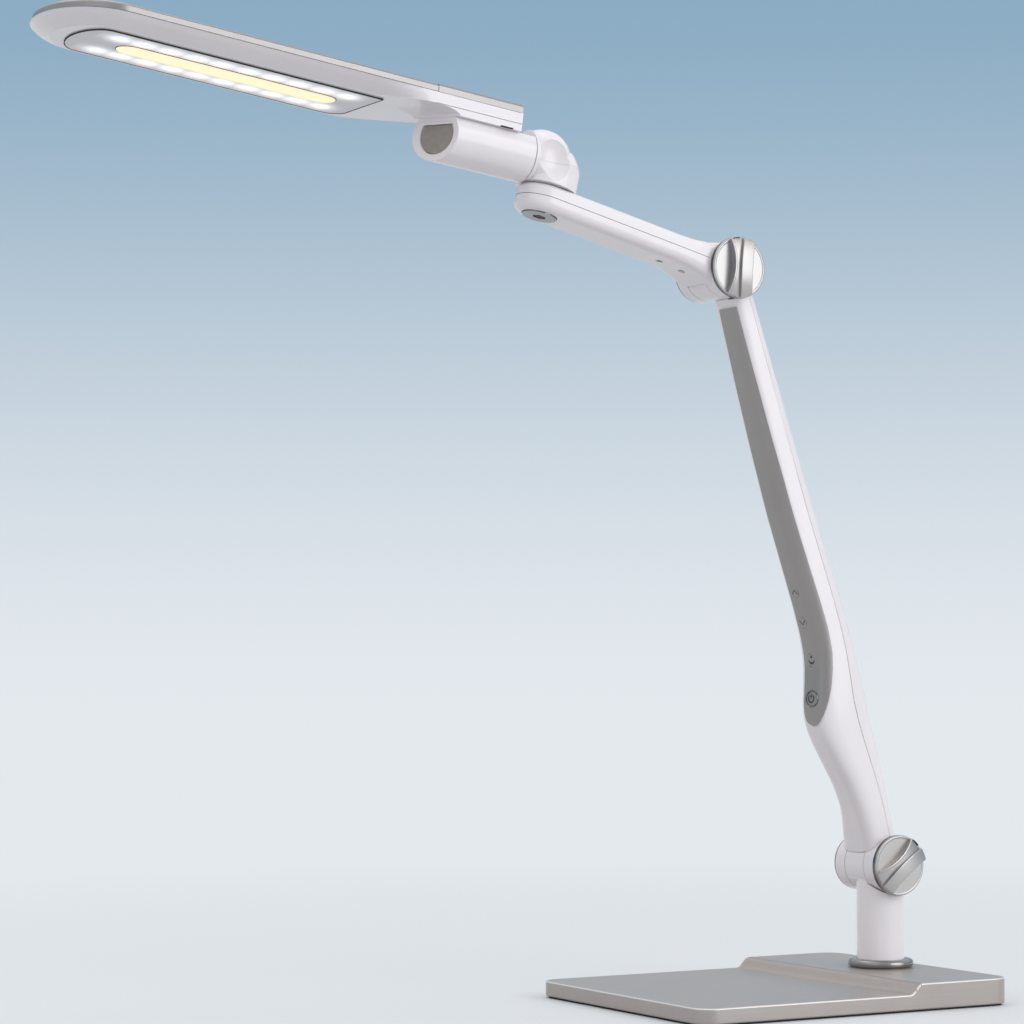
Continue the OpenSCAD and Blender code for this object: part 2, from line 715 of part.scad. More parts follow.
module control_panel() color(silver) on_lower_arm() difference() {
    skin([for (k = [0:panel_steps]) panel_ring(k / panel_steps)]);
    key_holes();
}
function turn_at(t, column, i = 0) = i >= len(panel_turn_shares) - 2 || t <= panel_turn_shares[i + 1][0]
    ? let (a = panel_turn_shares[i], b = panel_turn_shares[i + 1])
        a[column] + (b[column] - a[column]) * (t - a[0]) / (b[0] - a[0])
    : turn_at(t, column, i + 1);
function panel_ring(f) = let (t0 = panel_turn_shares[0][0], t1 = panel_turn_shares[len(panel_turn_shares) - 1][0],
    t = t0 + (t1 - t0) * pow(f, panel_step_power), a0 = turn_at(t, 1), a1 = turn_at(t, 2))
    concat([for (i = [0:panel_points]) arm_point(t, a0 + (a1 - a0) * i / panel_points, panel_gap + panel_t)],
        [for (i = [panel_points:-1:0]) arm_point(t, a0 + (a1 - a0) * i / panel_points, panel_gap)]);
module power_button() key(power_key);
module mode_button() key(mode_key);
module down_key() key(dimmer_key);
module up_key() key(brighter_key);

// Upper arm, drawn along -X from the elbow
module arm_section(w, t, low_r, top_r) {
    square([w - 2 * low_r, t], center = true);
    translate([-w / 2, -t / 2 + low_r]) square([w, t - low_r - top_r]);
    translate([-w / 2 + top_r, 0]) square([w - 2 * top_r, t / 2]);
    for (k = [-1, 1]) {
        translate([k * (w / 2 - low_r), -t / 2 + low_r]) circle(r = low_r);
        translate([k * (w / 2 - top_r), t / 2 - top_r]) circle(r = top_r);
    }
}
module arm_bar(inset, x1) {
    w = upper_w - 2 * inset;
    t = upper_t - 2 * inset;
    low_r = arm_low_r - inset;
    top_r = max(arm_top_r - inset, arm_top_r / 4);
    translate([-upper_len, 0, 0]) {
        rotate([90, 0, 90]) linear_extrude(height = upper_len - x1) arm_section(w, t, low_r, top_r);
        rotate_extrude() intersection() {
            arm_section(w, t, low_r, top_r);
            translate([0, -upper_t]) square([upper_w, 2 * upper_t]);
        }
    }
}
// Side view of the blend between the flat arm and the barrel
module flare_side() {
    r = barrel_d / 2;
    rise = r - upper_t / 2;
    up = [for (f = flare_shares) [-flare_len * f[0], upper_t / 2 + rise * f[1]]];
    polygon(concat(up, [[0, r - arm_wall], [0, arm_wall - r]], [for (i = [len(up) - 1:-1:0]) [up[i][0], -up[i][1]]]));
}
// Plan of the blend, which widens to the rear cheek
module flare_plan() polygon(concat([[-flare_len, -upper_w / 2], [-knob_d / 2, -cheek_front_y], [0, -cheek_front_y]],
    [[0, back_y]],
    [for (k = [0:flare_steps]) let (f = k / flare_steps)
        [-flare_len * (flare_start_share + (1 - flare_start_share) * f), back_y - (back_y - upper_w / 2) * ease(f)]]));
module upper_form() {
    arm_bar(0, flare_len / 2);
    cheek(-cheek_front_y, tongue_y - friction_t);
    cheek(rear_y, back_y);
    intersection() {
        rotate([90, 0, 0]) translate([0, 0, -barrel_d]) linear_extrude(height = 2 * barrel_d) flare_side();
        translate([0, 0, -barrel_d]) linear_extrude(height = 2 * barrel_d) flare_plan();
    }
}
module upper_body() difference() {
    upper_form();
    bar_y(sweep_d, tongue_y - friction_t, rear_y);
    difference() {
        arm_bar(arm_wall, flare_len);
        translate([-upper_len, 0, 0]) bar_z(pivot_boss_d, -upper_t, upper_t);
        for (x = upper_screw_x) translate([x, 0, 0]) bar_z(arm_screw_head_d + 2 * shell_wall, -upper_t, upper_t);
    }
    cheek_holes();
    translate([-upper_len, 0, 0]) {
        bar_z(pivot_d + 2 * bush_wall, -upper_t, upper_t);
        bar_z(pivot_head_d + 2 * part_gap, -upper_t, -upper_t / 2 + pivot_head_t - pivot_head_proud);
    }
    for (x = upper_screw_x) translate([x, 0, -upper_t / 2]) {
        bar_z(arm_screw_head_d, -upper_t / 2, upper_screw_head_t);
        bar_z(arm_screw_d, 0, upper_screw_len);
    }
}
module upper_arm_top() color(white) on_upper_arm() intersection() {
    upper_body();
    box(-2 * upper_len, barrel_d, -barrel_d, barrel_d, arm_seam, barrel_d);
}
module upper_arm_bottom() color(white) on_upper_arm() intersection() {
    upper_body();
    box(-2 * upper_len, barrel_d, -barrel_d, barrel_d, -barrel_d, arm_seam - seam_gap);
}
module upper_arm_screws() color(steel) on_upper_arm()
    for (x = upper_screw_x) translate([x, 0, -upper_t / 2]) {
        bar_z(arm_screw_head_d, 0, upper_screw_head_t);
        bar_z(arm_screw_d, upper_screw_head_t, upper_screw_len);
    }
module pivot_bush() color(brass_colour) on_pivot() ring_z(pivot_d + 2 * bush_wall, pivot_d + 2 * run_gap,
    -upper_t / 2 + pivot_head_t - pivot_head_proud, upper_t / 2);
module pivot_washer() color(steel) on_pivot()
    ring_z(pivot_washer_d, pivot_d + 2 * part_gap, upper_t / 2, upper_t / 2 + pivot_washer_t);

// Knuckle on the end of the upper arm
knuckle_z = upper_t / 2 + pivot_washer_t;
module scoop(side) translate([-scoop_x, side * (ball_d / 2 - scoop_deep + scoop_r), 0]) sphere(r = scoop_r);
module knuckle_form() difference() {
    intersection() {
        union() {
            on_pivot() translate([0, 0, knuckle_z]) rotate_extrude()
                polygon(concat([[0, 0]], [for (b = bell_shares) [b[0] * bell_d / 2, b[1] * bell_h]]));
            on_head() translate([-ball_x, 0, 0]) sphere(d = ball_d);
        }
        on_head() box(-knuckle_end_x, ball_d, -ball_d, ball_d, -ball_d, ball_d);
        on_pivot() box(-ball_d, ball_d, -ball_d, ball_d, knuckle_z, 2 * ball_d);
    }
    on_head() {
        scoop(-1);
        scoop(1);
        bar_x(roll_spigot_d, -ball_d, spigot_in);
    }
    on_pivot() bar_z(pivot_d, 0, tube_lift - roll_spigot_d / 2 + overrun);
}
module knuckle_base() color(white) intersection() {
    knuckle_form();
    on_head() box(-ball_d, ball_d, -ball_d, ball_d, -ball_d, knuckle_seam - seam_gap);
}
module knuckle_cover() color(white) intersection() {
    knuckle_form();
    on_head() box(-ball_d, ball_d, -ball_d, ball_d, knuckle_seam, ball_d);
}
module roll_ring() color(white) on_head() difference() {
    bar_x(roll_ring_d, -roll_ring_x, -knuckle_end_x);
    bar_x(roll_spigot_d + 2 * seat_gap, -2 * ball_d, 0);
    rotate([0, upper_rise - head_rise, 0]) translate([0, 0, knuckle_z - tube_lift])
        box(-ball_d, ball_d, -ball_d, ball_d, -ball_d, 0);
}
module pivot_screw() color(chrome_colour) on_pivot() difference() {
    union() {
        bar_z(pivot_head_d, -upper_t / 2 - pivot_head_proud, -upper_t / 2 + pivot_head_t - pivot_head_proud);
        bar_z(pivot_d, -upper_t / 2, tube_lift - roll_spigot_d / 2 - overrun);
    }
    translate([0, 0, -upper_t / 2 - pivot_head_proud - overrun])
        cylinder(d = pivot_hex_d, h = overrun + pivot_hex_t, $fn = 6);
}
module roll_spigot() color(steel) on_head() difference() {
    bar_x(roll_spigot_d, -spigot_out, spigot_in);
    bar_x(spigot_bore_d, -2 * spigot_out, spigot_in - bush_wall);
}
module spigot_ring() color(steel) on_head() difference() {
    bar_x(spigot_ring_d, -tube_in_x - part_gap - spigot_ring_t, -tube_in_x - part_gap);
    bar_x(roll_spigot_d, -2 * spigot_out, 0);
}

// Head, drawn along -X from the knuckle; u is the distance from its neck end
module tube_form(inset, x0, x1) intersection() {
    bar_x(tube_d - 2 * inset, -x1, -x0);
    box(-x1, -x0, -tube_d, tube_d, -tube_d, seam_z - inset);
}
module head_tube() color(white) on_head() difference() {
    tube_form(0, tube_x, tube_end_x + tube_d);
    tube_form(tube_wall, tube_in_x, tube_end_x + 2 * tube_d);
    bar_x(roll_spigot_d + 2 * run_gap, -2 * tube_end_x, 0);
    bar_x(spigot_ring_d + 2 * part_gap, -tube_in_x - spigot_ring_t - 2 * part_gap, -tube_in_x);
    translate([-tube_end_x, 0, 0]) rotate([0, 0, tube_skew])
        box(-3 * tube_d, 0, -2 * tube_d, 2 * tube_d, -tube_d, tube_d);
}
module tube_plug() color([0.45, 0.42, 0.4]) on_head() tube_form(tube_wall + seat_gap, plug_x - plug_t, plug_x);

function between(u, a, b) = ease((u - a) / (b - a));
function near_edge(u, i, w) = near_y + i * between(u, near_bend_from, near_bend_to) + w;
function far_edge(u, i, w) = neck_half + (far_y - neck_half) * between(u, bend_from, bend_to)
    - i * between(u, far_bend_from, far_bend_to) - w;
function tip_u() = head_len - head_w / 2 * tip_share;
function outline(i, w, z, u0, u1) = let (c = tip_u(), e = min(c, u1), run = head_w / 2 * tip_share) concat(
    [for (k = [0:side_steps]) let (u = u0 + (e - u0) * pow(k / side_steps, far_power)) [-head_x - u, far_edge(u, i, w), z]],
    u1 < c ? [] : [for (k = [1:tip_steps - 1]) let (a = half_turn * k / tip_steps)
        [-head_x - c - (run - i * tip_in_share - w) * sin(a), mid_y + (head_w / 2 - i - w) * cos(a), z]],
    [for (k = [side_steps:-1:0]) let (u = u0 + (e - u0) * pow(k / side_steps, near_power))
        [-head_x - u, near_edge(u, i, w), z]]);
function shell_rings(w, z_low, z_high) = [for (k = [len(side_shares) - 1:-1:0]) let (f = side_shares[k])
    outline(side_run * f[1], w, k == 0 ? z_high : max(z_low, face_z + shell_h * f[0]), w, head_len)];
function inner_rings() = [for (k = [0:inner_count - 1]) let (f = side_shares[k])
    outline(side_run * f[1], side_wall, k == inner_count - 1 ? face_z + head_wall : face_z + shell_h * f[0],
        side_wall, head_len)];
module recess_plan(w) {
    c = tip_u();
    near = near_y + side_run + recess_in + w;
    far = far_y - side_run - recess_in - w;
    half = (far - near) / 2;
    run = head_w / 2 * tip_share - side_run * tip_in_share - recess_tip_in - w;
    r = recess_corner;
    polygon(concat([[-head_x - c, near], [-head_x - recess_from - w, near]],
        [for (a = [0:15:90]) [-head_x - recess_from - w - r + r * cos(a), far - r + r * sin(a)]],
        [for (a = [90:9:270]) [-head_x - c + run * cos(a), mid_y + half * sin(a)]]));
}
module strip_plan(w) {
    r = strip_w / 2 + w;
    u0 = strip_root + strip_w / 2;
    u1 = head_len - strip_tip - strip_w / 2;
    for (u = [u0, u1]) translate([-head_x - u, mid_y]) circle(r = r);
    translate([-head_x - u1, mid_y - r]) square([u1 - u0, 2 * r]);
}
boss_at = [for (u = [boss_from, head_len - boss_tip], y = [-1, 1]) [-head_x - u, mid_y + y * boss_half]];
led_board_z = face_z + led_board_lift;
plate_z = led_board_z + led_board_t;
module head_shell() color(white) on_head() difference() {
    union() {
        skin(concat(shell_rings(0, 0, lip_z), inner_rings()));
        box(-head_x - neck_len, -head_x, -neck_half, neck_half, seam_z, face_z + overrun / 2);
        for (p = boss_at) translate(p) bar_z(boss_d, face_z + head_wall / 2, plate_z);
    }
    box(-head_x - neck_len + head_wall, -head_x - head_wall, -neck_half + head_wall, neck_half - head_wall,
        seam_z + head_wall, face_z + shell_h);
    translate([0, 0, face_z - overrun]) linear_extrude(height = head_wall + 2 * overrun) recess_plan(0);
    for (p = boss_at) translate(p) bar_z(head_screw_d, plate_z - head_screw_len, plate_z + overrun);
}
function cover_ring(u0, u1, inset, w, z) = outline(0, inset + w, z, u0 + w, u1 - (u1 < tip_u() ? w : 0));
module cover(u0, u1, top) {
    side_z = lip_z + (top - lip_z) * cover_side_share;
    skin([cover_ring(u0, u1, cover_crown, cover_wall_t, top - cover_wall_t),
        cover_ring(u0, u1, cover_edge, cover_wall_t, side_z - cover_wall_t / 2),
        cover_ring(u0, u1, cover_edge, cover_wall_t, lip_z),
        cover_ring(u0, u1, cover_edge, 0, lip_z),
        cover_ring(u0, u1, cover_edge, 0, side_z),
        cover_ring(u0, u1, cover_crown, 0, top)]);
}
module head_cover() color(silver) on_head() cover(cover_split, head_len, top_z);
module neck_cover() color(silver) on_head() cover(0, cover_split - part_gap, top_z + neck_step);
module reflector() color(silver) on_head() difference() {
    translate([0, 0, face_z + tray_lift]) linear_extrude(height = tray_t) recess_plan(tray_gap);
    translate([0, 0, face_z - overrun]) linear_extrude(height = head_wall + 2 * overrun) strip_plan(0);
}
module diffuser() color([1, 0.93, 0.74]) on_head()
    translate([0, 0, face_z - strip_proud]) linear_extrude(height = strip_proud + strip_deep) strip_plan(-strip_gap);
module led_board() color(board_colour) on_head() box(-head_x - head_len + led_board_tip, -head_x - led_board_from,
    mid_y - led_board_half, mid_y + led_board_half, led_board_z, led_board_z + led_board_t);
module leds() color([1, 0.95, 0.7]) on_head() for (k = [0:led_count - 1], y = [-1, 1])
    translate([-head_x - led_board_from - led_margin
        - k * (head_len - led_board_tip - led_board_from - 2 * led_margin) / (led_count - 1),
        mid_y + y * led_row_y, led_board_z - led_t / 2]) cube([led_size, led_size, led_t], center = true);
module heat_plate() color(steel) on_head() difference() {
    box(-head_x - head_len + led_board_tip, -head_x - led_board_from,
        mid_y - plate_half, mid_y + plate_half, plate_z, plate_z + plate_t);
    for (p = boss_at) translate(p) bar_z(head_screw_d, 0, top_z);
}
module head_screws() color(steel) on_head() for (p = boss_at) translate(p) {
    bar_z(head_screw_head_d, plate_z + plate_t, plate_z + plate_t + head_screw_head_t);
    bar_z(head_screw_d, plate_z - head_screw_len + overrun / 2, plate_z + plate_t);
}

base_pad();
bottom_plate();
base_cover();
base_weight();
base_screws();
dc_inlet();
column_collar();
swivel_bushing();
thrust_washer();
column_post();
swivel_washer();
swivel_nut();
lower_bolt();
lower_bush();
lower_friction_washers();
lower_clamp_washer();
lower_knob();
lower_knob_insert();
lower_rear_cap();
lower_arm_frame();
lower_arm_front();
lower_arm_back();
control_panel();
power_button();
mode_button();
up_key();
down_key();
lower_arm_screws();
key_switches();
control_board();
elbow_bolt();
elbow_bush();
elbow_friction_washers();
elbow_clamp_washer();
elbow_knob();
elbow_knob_insert();
elbow_rear_cap();
upper_arm_top();
upper_arm_bottom();
upper_arm_screws();
pivot_bush();
pivot_washer();
knuckle_base();
knuckle_cover();
roll_ring();
pivot_screw();
roll_spigot();
spigot_ring();
head_tube();
tube_plug();
head_shell();
head_cover();
neck_cover();
reflector();
diffuser();
led_board();
leds();
heat_plate();
head_screws();
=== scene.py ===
from contextlib import contextmanager
import bmesh
import bpy
import json
import math
from mathutils import Matrix, Vector


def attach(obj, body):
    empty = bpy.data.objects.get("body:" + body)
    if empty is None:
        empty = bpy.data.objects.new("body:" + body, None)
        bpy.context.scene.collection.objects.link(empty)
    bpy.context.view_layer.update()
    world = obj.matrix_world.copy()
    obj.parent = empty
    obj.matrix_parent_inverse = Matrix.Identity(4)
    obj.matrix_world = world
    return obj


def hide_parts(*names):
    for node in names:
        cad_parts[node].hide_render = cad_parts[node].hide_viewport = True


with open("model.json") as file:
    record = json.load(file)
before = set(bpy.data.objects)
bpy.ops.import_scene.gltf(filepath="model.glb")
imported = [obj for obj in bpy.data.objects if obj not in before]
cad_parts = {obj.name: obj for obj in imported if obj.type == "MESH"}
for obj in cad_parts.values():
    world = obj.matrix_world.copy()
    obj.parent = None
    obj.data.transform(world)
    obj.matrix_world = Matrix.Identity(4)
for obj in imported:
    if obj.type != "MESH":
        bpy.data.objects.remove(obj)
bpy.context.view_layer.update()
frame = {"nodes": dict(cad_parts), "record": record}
cadNodes, record = frame["nodes"], frame["record"]
bodyOf = {node: body for body, members in record["behaviour"]["bodies"].items() for node in members}
slotOf = {part["node"]: part["material_slot"] for part in record["subparts"]}
mm = 0.001


def addObject(name, data):
    obj = bpy.data.objects.new(name, data)
    bpy.context.scene.collection.objects.link(obj)
    return obj


camera = {"lens": 105.47, "sensor": 36, "place": (-1.2233, -1.6198, 0.2236), "right": (0.8652, -0.5015, 0.0),
          "up": (-0.0243, -0.0420, 0.9988), "back": (-0.5009, -0.8641, -0.0485)}


def addCamera(look):
    data = bpy.data.cameras.new("camera")
    data.lens, data.sensor_width = look["lens"], look["sensor"]
    view = addObject("camera", data)
    turn = Matrix((look["right"], look["up"], look["back"])).transposed().to_4x4()
    view.matrix_world = Matrix.Translation(look["place"]) @ turn
    bpy.context.scene.camera = view


addCamera(camera)
print("camera placed")

# Places of the moving parts at rest, in mm and degrees

stance = {"hinge": 86, "lowerArm": 410, "lean": 18, "upperRise": 14.3,
          "head": (-255.814, 0, 536.192), "headRise": 7.6}


def moveBy(x, y, z):
    return Matrix.Translation(Vector((x, y, z)) * mm)


def turnBy(degrees, axis="Y"):
    return Matrix.Rotation(math.radians(degrees), 4, axis)


lowerLength, lean = stance["lowerArm"], math.radians(stance["lean"])
elbowAt = (-lowerLength * math.sin(lean), 0, stance["hinge"] + lowerLength * math.cos(lean))
onColumn = moveBy(0, 0, stance["hinge"])
onLowerArm = onColumn @ turnBy(-stance["lean"])
onElbow = moveBy(*elbowAt)
onUpperArm = onElbow @ turnBy(stance["upperRise"])
onHead = moveBy(*stance["head"]) @ turnBy(stance["headRise"])

# Shader maths: a socket that adds its own Math nodes, and one method for every other node


def paint(red, green, blue):  # a colour as it looks on screen, 0 to 255
    return tuple(v / 12.92 if v <= 0.04045 else ((v + 0.055) / 1.055) ** 2.4
                 for v in (red / 255, green / 255, blue / 255)) + (1.0,)


def operator(operation, swapped=False):
    return lambda self, other: self.calc(operation, other, swapped)


class Num:
    def __init__(self, graph, socket):
        self.graph, self.socket = graph, socket

    def calc(self, operation, other=None, swapped=False):
        pair = [other, self] if swapped else [self, other]
        values = {i: v for i, v in enumerate(pair) if v is not None}
        return self.graph.num("ShaderNodeMath", {"operation": operation}, values)

    __add__, __radd__ = operator("ADD"), operator("ADD", True)
    __sub__, __rsub__ = operator("SUBTRACT"), operator("SUBTRACT", True)
    __mul__, __rmul__ = operator("MULTIPLY"), operator("MULTIPLY", True)
    __truediv__, __rtruediv__ = operator("DIVIDE"), operator("DIVIDE", True)
    __pow__, __rpow__ = operator("POWER"), operator("POWER", True)

    def __abs__(self):
        return self.calc("ABSOLUTE")

    def clip(self):  # held between 0 and 1
        return self.calc("MINIMUM", 1).calc("MAXIMUM", 0)


class Graph:
    def __init__(self, tree):
        self.tree = tree

    def node(self, kind, settings=None, sockets=None):  # settings first, then values or links
        made = self.tree.nodes.new(kind)
        for key, value in (settings or {}).items():
            setattr(made, key, value)
        for key, value in (sockets or {}).items():
            self.feed(made.inputs[key], value)
        return made

    def feed(self, socket, value):
        if isinstance(value, Num):
            value = value.socket
        if isinstance(value, bpy.types.NodeSocket):
            self.tree.links.new(value, socket)
        else:
            socket.default_value = value

    def first(self, kind, settings=None, sockets=None):  # the node's first output
        return self.node(kind, settings, sockets).outputs[0]

    def num(self, kind, settings=None, sockets=None, output=0):
        return Num(self, self.node(kind, settings, sockets).outputs[output])

    def mix(self, factor, low, high):
        return self.node("ShaderNodeMix", {"data_type": "RGBA"}, {"Factor": factor, 6: low, 7: high}).outputs[2]

    def dot(self, vector, axis):
        return self.num("ShaderNodeVectorMath", {"operation": "DOT_PRODUCT"}, {0: vector, 1: axis}, "Value")

    def rise(self, value, low, high):  # 0 up to low and 1 from high, smooth between them
        return self.num("ShaderNodeMapRange", {"interpolation_type": "SMOOTHSTEP"},
                        {"Value": value, "From Min": low, "From Max": high})

    def backdropRays(self):  # 1 for rays that see the backdrop, 0 for those that light the object
        rays = self.node("ShaderNodeLightPath").outputs
        kinds = ("Is Camera Ray", "Is Glossy Ray", "Is Transmission Ray")
        seen, glossy, through = (Num(self, rays[kind]) for kind in kinds)
        return seen.calc("MAXIMUM", glossy).calc("MAXIMUM", through)


class Finish(Graph):
    def __init__(self, name):
        self.material = bpy.data.materials.new(name)
        self.material.use_nodes = True
        super().__init__(self.material.node_tree)
        self.shader = self.tree.nodes["Principled BSDF"]
        self.place = self.node("ShaderNodeTexCoord").outputs["Object"]

    def noise(self, scale, detail, stretch=None):
        place = self.place
        if stretch:
            place = self.first("ShaderNodeMapping", {}, {"Vector": place, "Scale": stretch})
        return self.num("ShaderNodeTexNoise", {}, {"Vector": place, "Scale": scale, "Detail": detail})

    def along(self, origin, axis):  # distance from a point along an axis, in mm
        start = [v * mm for v in origin]
        moved = self.first("ShaderNodeVectorMath", {"operation": "SUBTRACT"}, {0: self.place, 1: start})
        return self.dot(moved, axis) / mm

    def tint(self, factor, look):
        return self.mix(factor, paint(*look["shade"]), paint(*look["colour"]))

    def rough(self, factor, look):
        return look["roughness"] + look["spread"] * factor

    def bump(self, height, strength, distance):
        return self.first("ShaderNodeBump", {}, {"Height": height, "Strength": strength, "Distance": distance})

    def set(self, **sockets):
        for key, value in sockets.items():
            self.feed(self.shader.inputs[key.replace("_", " ")], value)
        return self.material


# Finishes

whiteLook = {"colour": (243, 240, 244), "shade": (234, 230, 236), "roughness": 0.17, "spread": 0.08,
             "peel": 900, "peelDepth": 0.000003, "coat": 0.35}
silverLook = {"colour": (172, 167, 164), "shade": (156, 152, 149), "roughness": 0.28, "spread": 0.10,
              "flake": 9000, "metal": 0.8}
inlayLook = {"colour": (160, 155, 152), "shade": (144, 139, 136), "roughness": 0.3, "spread": 0.08,
             "flake": 9000, "metal": 0.95}
baseLook = {"colour": (187, 180, 176), "shade": (163, 156, 152), "roughness": 0.32, "spread": 0.08,
            "flake": 7000, "metal": 0.45, "streak": 0.4, "coat": 0.03,
            # edge: colour of the painted highlight on the base's rounded upper edges, and how strongly it is
            # mixed in
            "edge": (236, 233, 231), "highlightShare": 0.85, "middle": -87.7, "reach": 90}
metalLook = {"colour": (190, 186, 184), "shade": (176, 172, 170), "roughness": 0.3, "spread": 0.08}
collarLook = {"colour": (164, 160, 158), "shade": (146, 143, 141), "roughness": 0.2, "spread": 0.08}
steelLook = {"colour": (178, 180, 184), "shade": (150, 152, 157), "roughness": 0.3, "spread": 0.12}
brassLook = {"colour": (214, 184, 112), "shade": (184, 150, 84), "roughness": 0.25, "spread": 0.1}
millLook = {"colour": (200, 202, 204), "shade": (176, 178, 181), "roughness": 0.3, "spread": 0.15}
chromeLook = {"colour": (146, 144, 144), "shade": (128, 126, 127), "roughness": 0.08, "spread": 0.05}
# a darker chrome for the knobs' rim bands: a painted dark reflection
shadedRimLook = {"colour": (112, 110, 111), "shade": (92, 91, 93), "roughness": 0.14, "spread": 0.06}
trayLook = {"colour": (214, 212, 219), "ledReflection": (255, 255, 255), "glow": (0.7, 0.7, 0.74, 1), "pitch": 17.1,
            "first": 105, "row": 18.5, "size": 7.6, "squash": 0.55, "start": 93, "fadeIn": 10, "end": 272,
            "fadeOut": 14}
lightLook = {"colour": (255, 238, 196), "edge": (250, 222, 165), "strength": 0.86, "half": 10.3,
             "plastic": (150, 140, 112), "plasticEdge": (130, 118, 88)}


def whitePlastic(name, look):
    f = Finish(name)
    return f.set(Base_Color=f.tint(f.noise(14, 3), look), Roughness=f.rough(f.noise(60, 2), look),
                 Coat_Weight=look["coat"], Coat_Roughness=0.05, IOR=1.5,
                 Normal=f.bump(f.noise(look["peel"], 1), 0.25, look["peelDepth"]))


def paintedEdgeHighlight(f, look):  # 1 on the rounded upper edge of the base: a painted highlight
    facing = f.node("ShaderNodeTexCoord").outputs["Normal"]
    up, side = f.dot(facing, (0, 0, 1)), abs(f.dot(facing, (0, 1, 0)))
    rounded = f.rise(up, 0.1, 0.35) * (1 - f.rise(up, 0.9, 0.985))
    ends = f.rise(abs(f.along((look["middle"], 0, 0), (1, 0, 0))), look["reach"], look["reach"] + 5)
    return rounded * f.rise(side, 0.12, 0.3).calc("MAXIMUM", ends)


def silverPaint(name, look):
    f = Finish(name)
    flake = f.noise(look["flake"], 0)
    tone = 0.55 * f.noise(22, 3) + 0.45 * flake
    if look.get("streak"):  # fine lines along the base's length
        tone = (1 - look["streak"]) * tone + look["streak"] * f.noise(60, 3, (0.12, 9, 9))
    colour = f.tint(tone, look)
    # painted highlight: a lighter colour along the base's rounded upper edges, where light would catch them
    if look.get("edge"):
        colour = f.mix(look["highlightShare"] * paintedEdgeHighlight(f, look), colour, paint(*look["edge"]))
    return f.set(Base_Color=colour, Metallic=look["metal"], Roughness=f.rough(f.noise(90, 2), look),
                 Coat_Weight=look.get("coat", 0.15), Coat_Roughness=0.12, Normal=f.bump(flake, 0.06, 0.000006))


def turnedMetal(name, look):
    f = Finish(name)
    grain = 0.6 * f.noise(40, 3) + 0.4 * f.noise(6000, 1, (1, 0.2, 1))
    return f.set(Base_Color=f.tint(grain, look), Metallic=1.0, Roughness=f.rough(grain, look),
                 Normal=f.bump(grain, 0.03, 0.000002))


def chromePlate(name, look):
    f = Finish(name)
    haze = f.noise(35, 2)
    return f.set(Base_Color=f.tint(haze, look), Metallic=1.0, Roughness=f.rough(haze, look))


def plainFinish(name, colour, shade, roughness, scale, metal=0.0, depth=0.00002):
    f = Finish(name)
    cloud = f.noise(scale, 3)
    return f.set(Base_Color=f.tint(cloud, {"colour": colour, "shade": shade}), Metallic=metal,
                 Roughness=roughness + 0.12 * f.noise(scale / 3, 2), Normal=f.bump(cloud, 0.2, depth))


headRise = math.radians(stance["headRise"])
headAxis = (-math.cos(headRise), 0, math.sin(headRise))
headStart, headMiddle = 33.3, 36.0  # from the head's place, along its axis and across


def frostedTray(name, look):  # frosted cover with a painted reflection of each light on it: a soft bright spot, which also glows
    f = Finish(name)
    u = f.along(stance["head"], headAxis) - headStart
    across = abs(f.along((0, headMiddle, 0), (0, 1, 0)))
    step = (u - look["first"]) / look["pitch"] + 0.5
    du, dv = (step.calc("FRACT") - 0.5) * look["pitch"], across - look["row"]
    # painted reflection of each light: a bright spot in the colour, and a painted glow in the emission
    ledReflection = (0 - (du * du * look["squash"] + dv * dv) / look["size"] ** 2).calc("EXPONENT")
    ends = ((u - look["start"]) / look["fadeIn"]).clip() * ((look["end"] - u) / look["fadeOut"]).clip()
    glow = ledReflection * ends * (0.8 + 0.4 * f.noise(240, 2))
    return f.set(Base_Color=f.mix(glow, paint(*look["colour"]), paint(*look["ledReflection"])), Coat_Weight=0.3,
                 Roughness=0.28 + 0.1 * f.noise(700, 1),
                 Emission_Color=f.mix(glow, (0, 0, 0, 1), look["glow"]), Emission_Strength=1.0)


def litDiffuser(name, look):
    f = Finish(name)
    across = abs(f.along((0, headMiddle, 0), (0, 1, 0))) / look["half"]
    tone = across.calc("MINIMUM", 1) ** 6 * 0.8 + 0.2 * f.noise(90, 2)
    return f.set(Base_Color=f.mix(tone, paint(*look["plastic"]), paint(*look["plasticEdge"])),
                 Roughness=0.35 + 0.08 * f.noise(500, 1),
                 Emission_Color=f.mix(tone, paint(*look["colour"]), paint(*look["edge"])),
                 Emission_Strength=look["strength"])


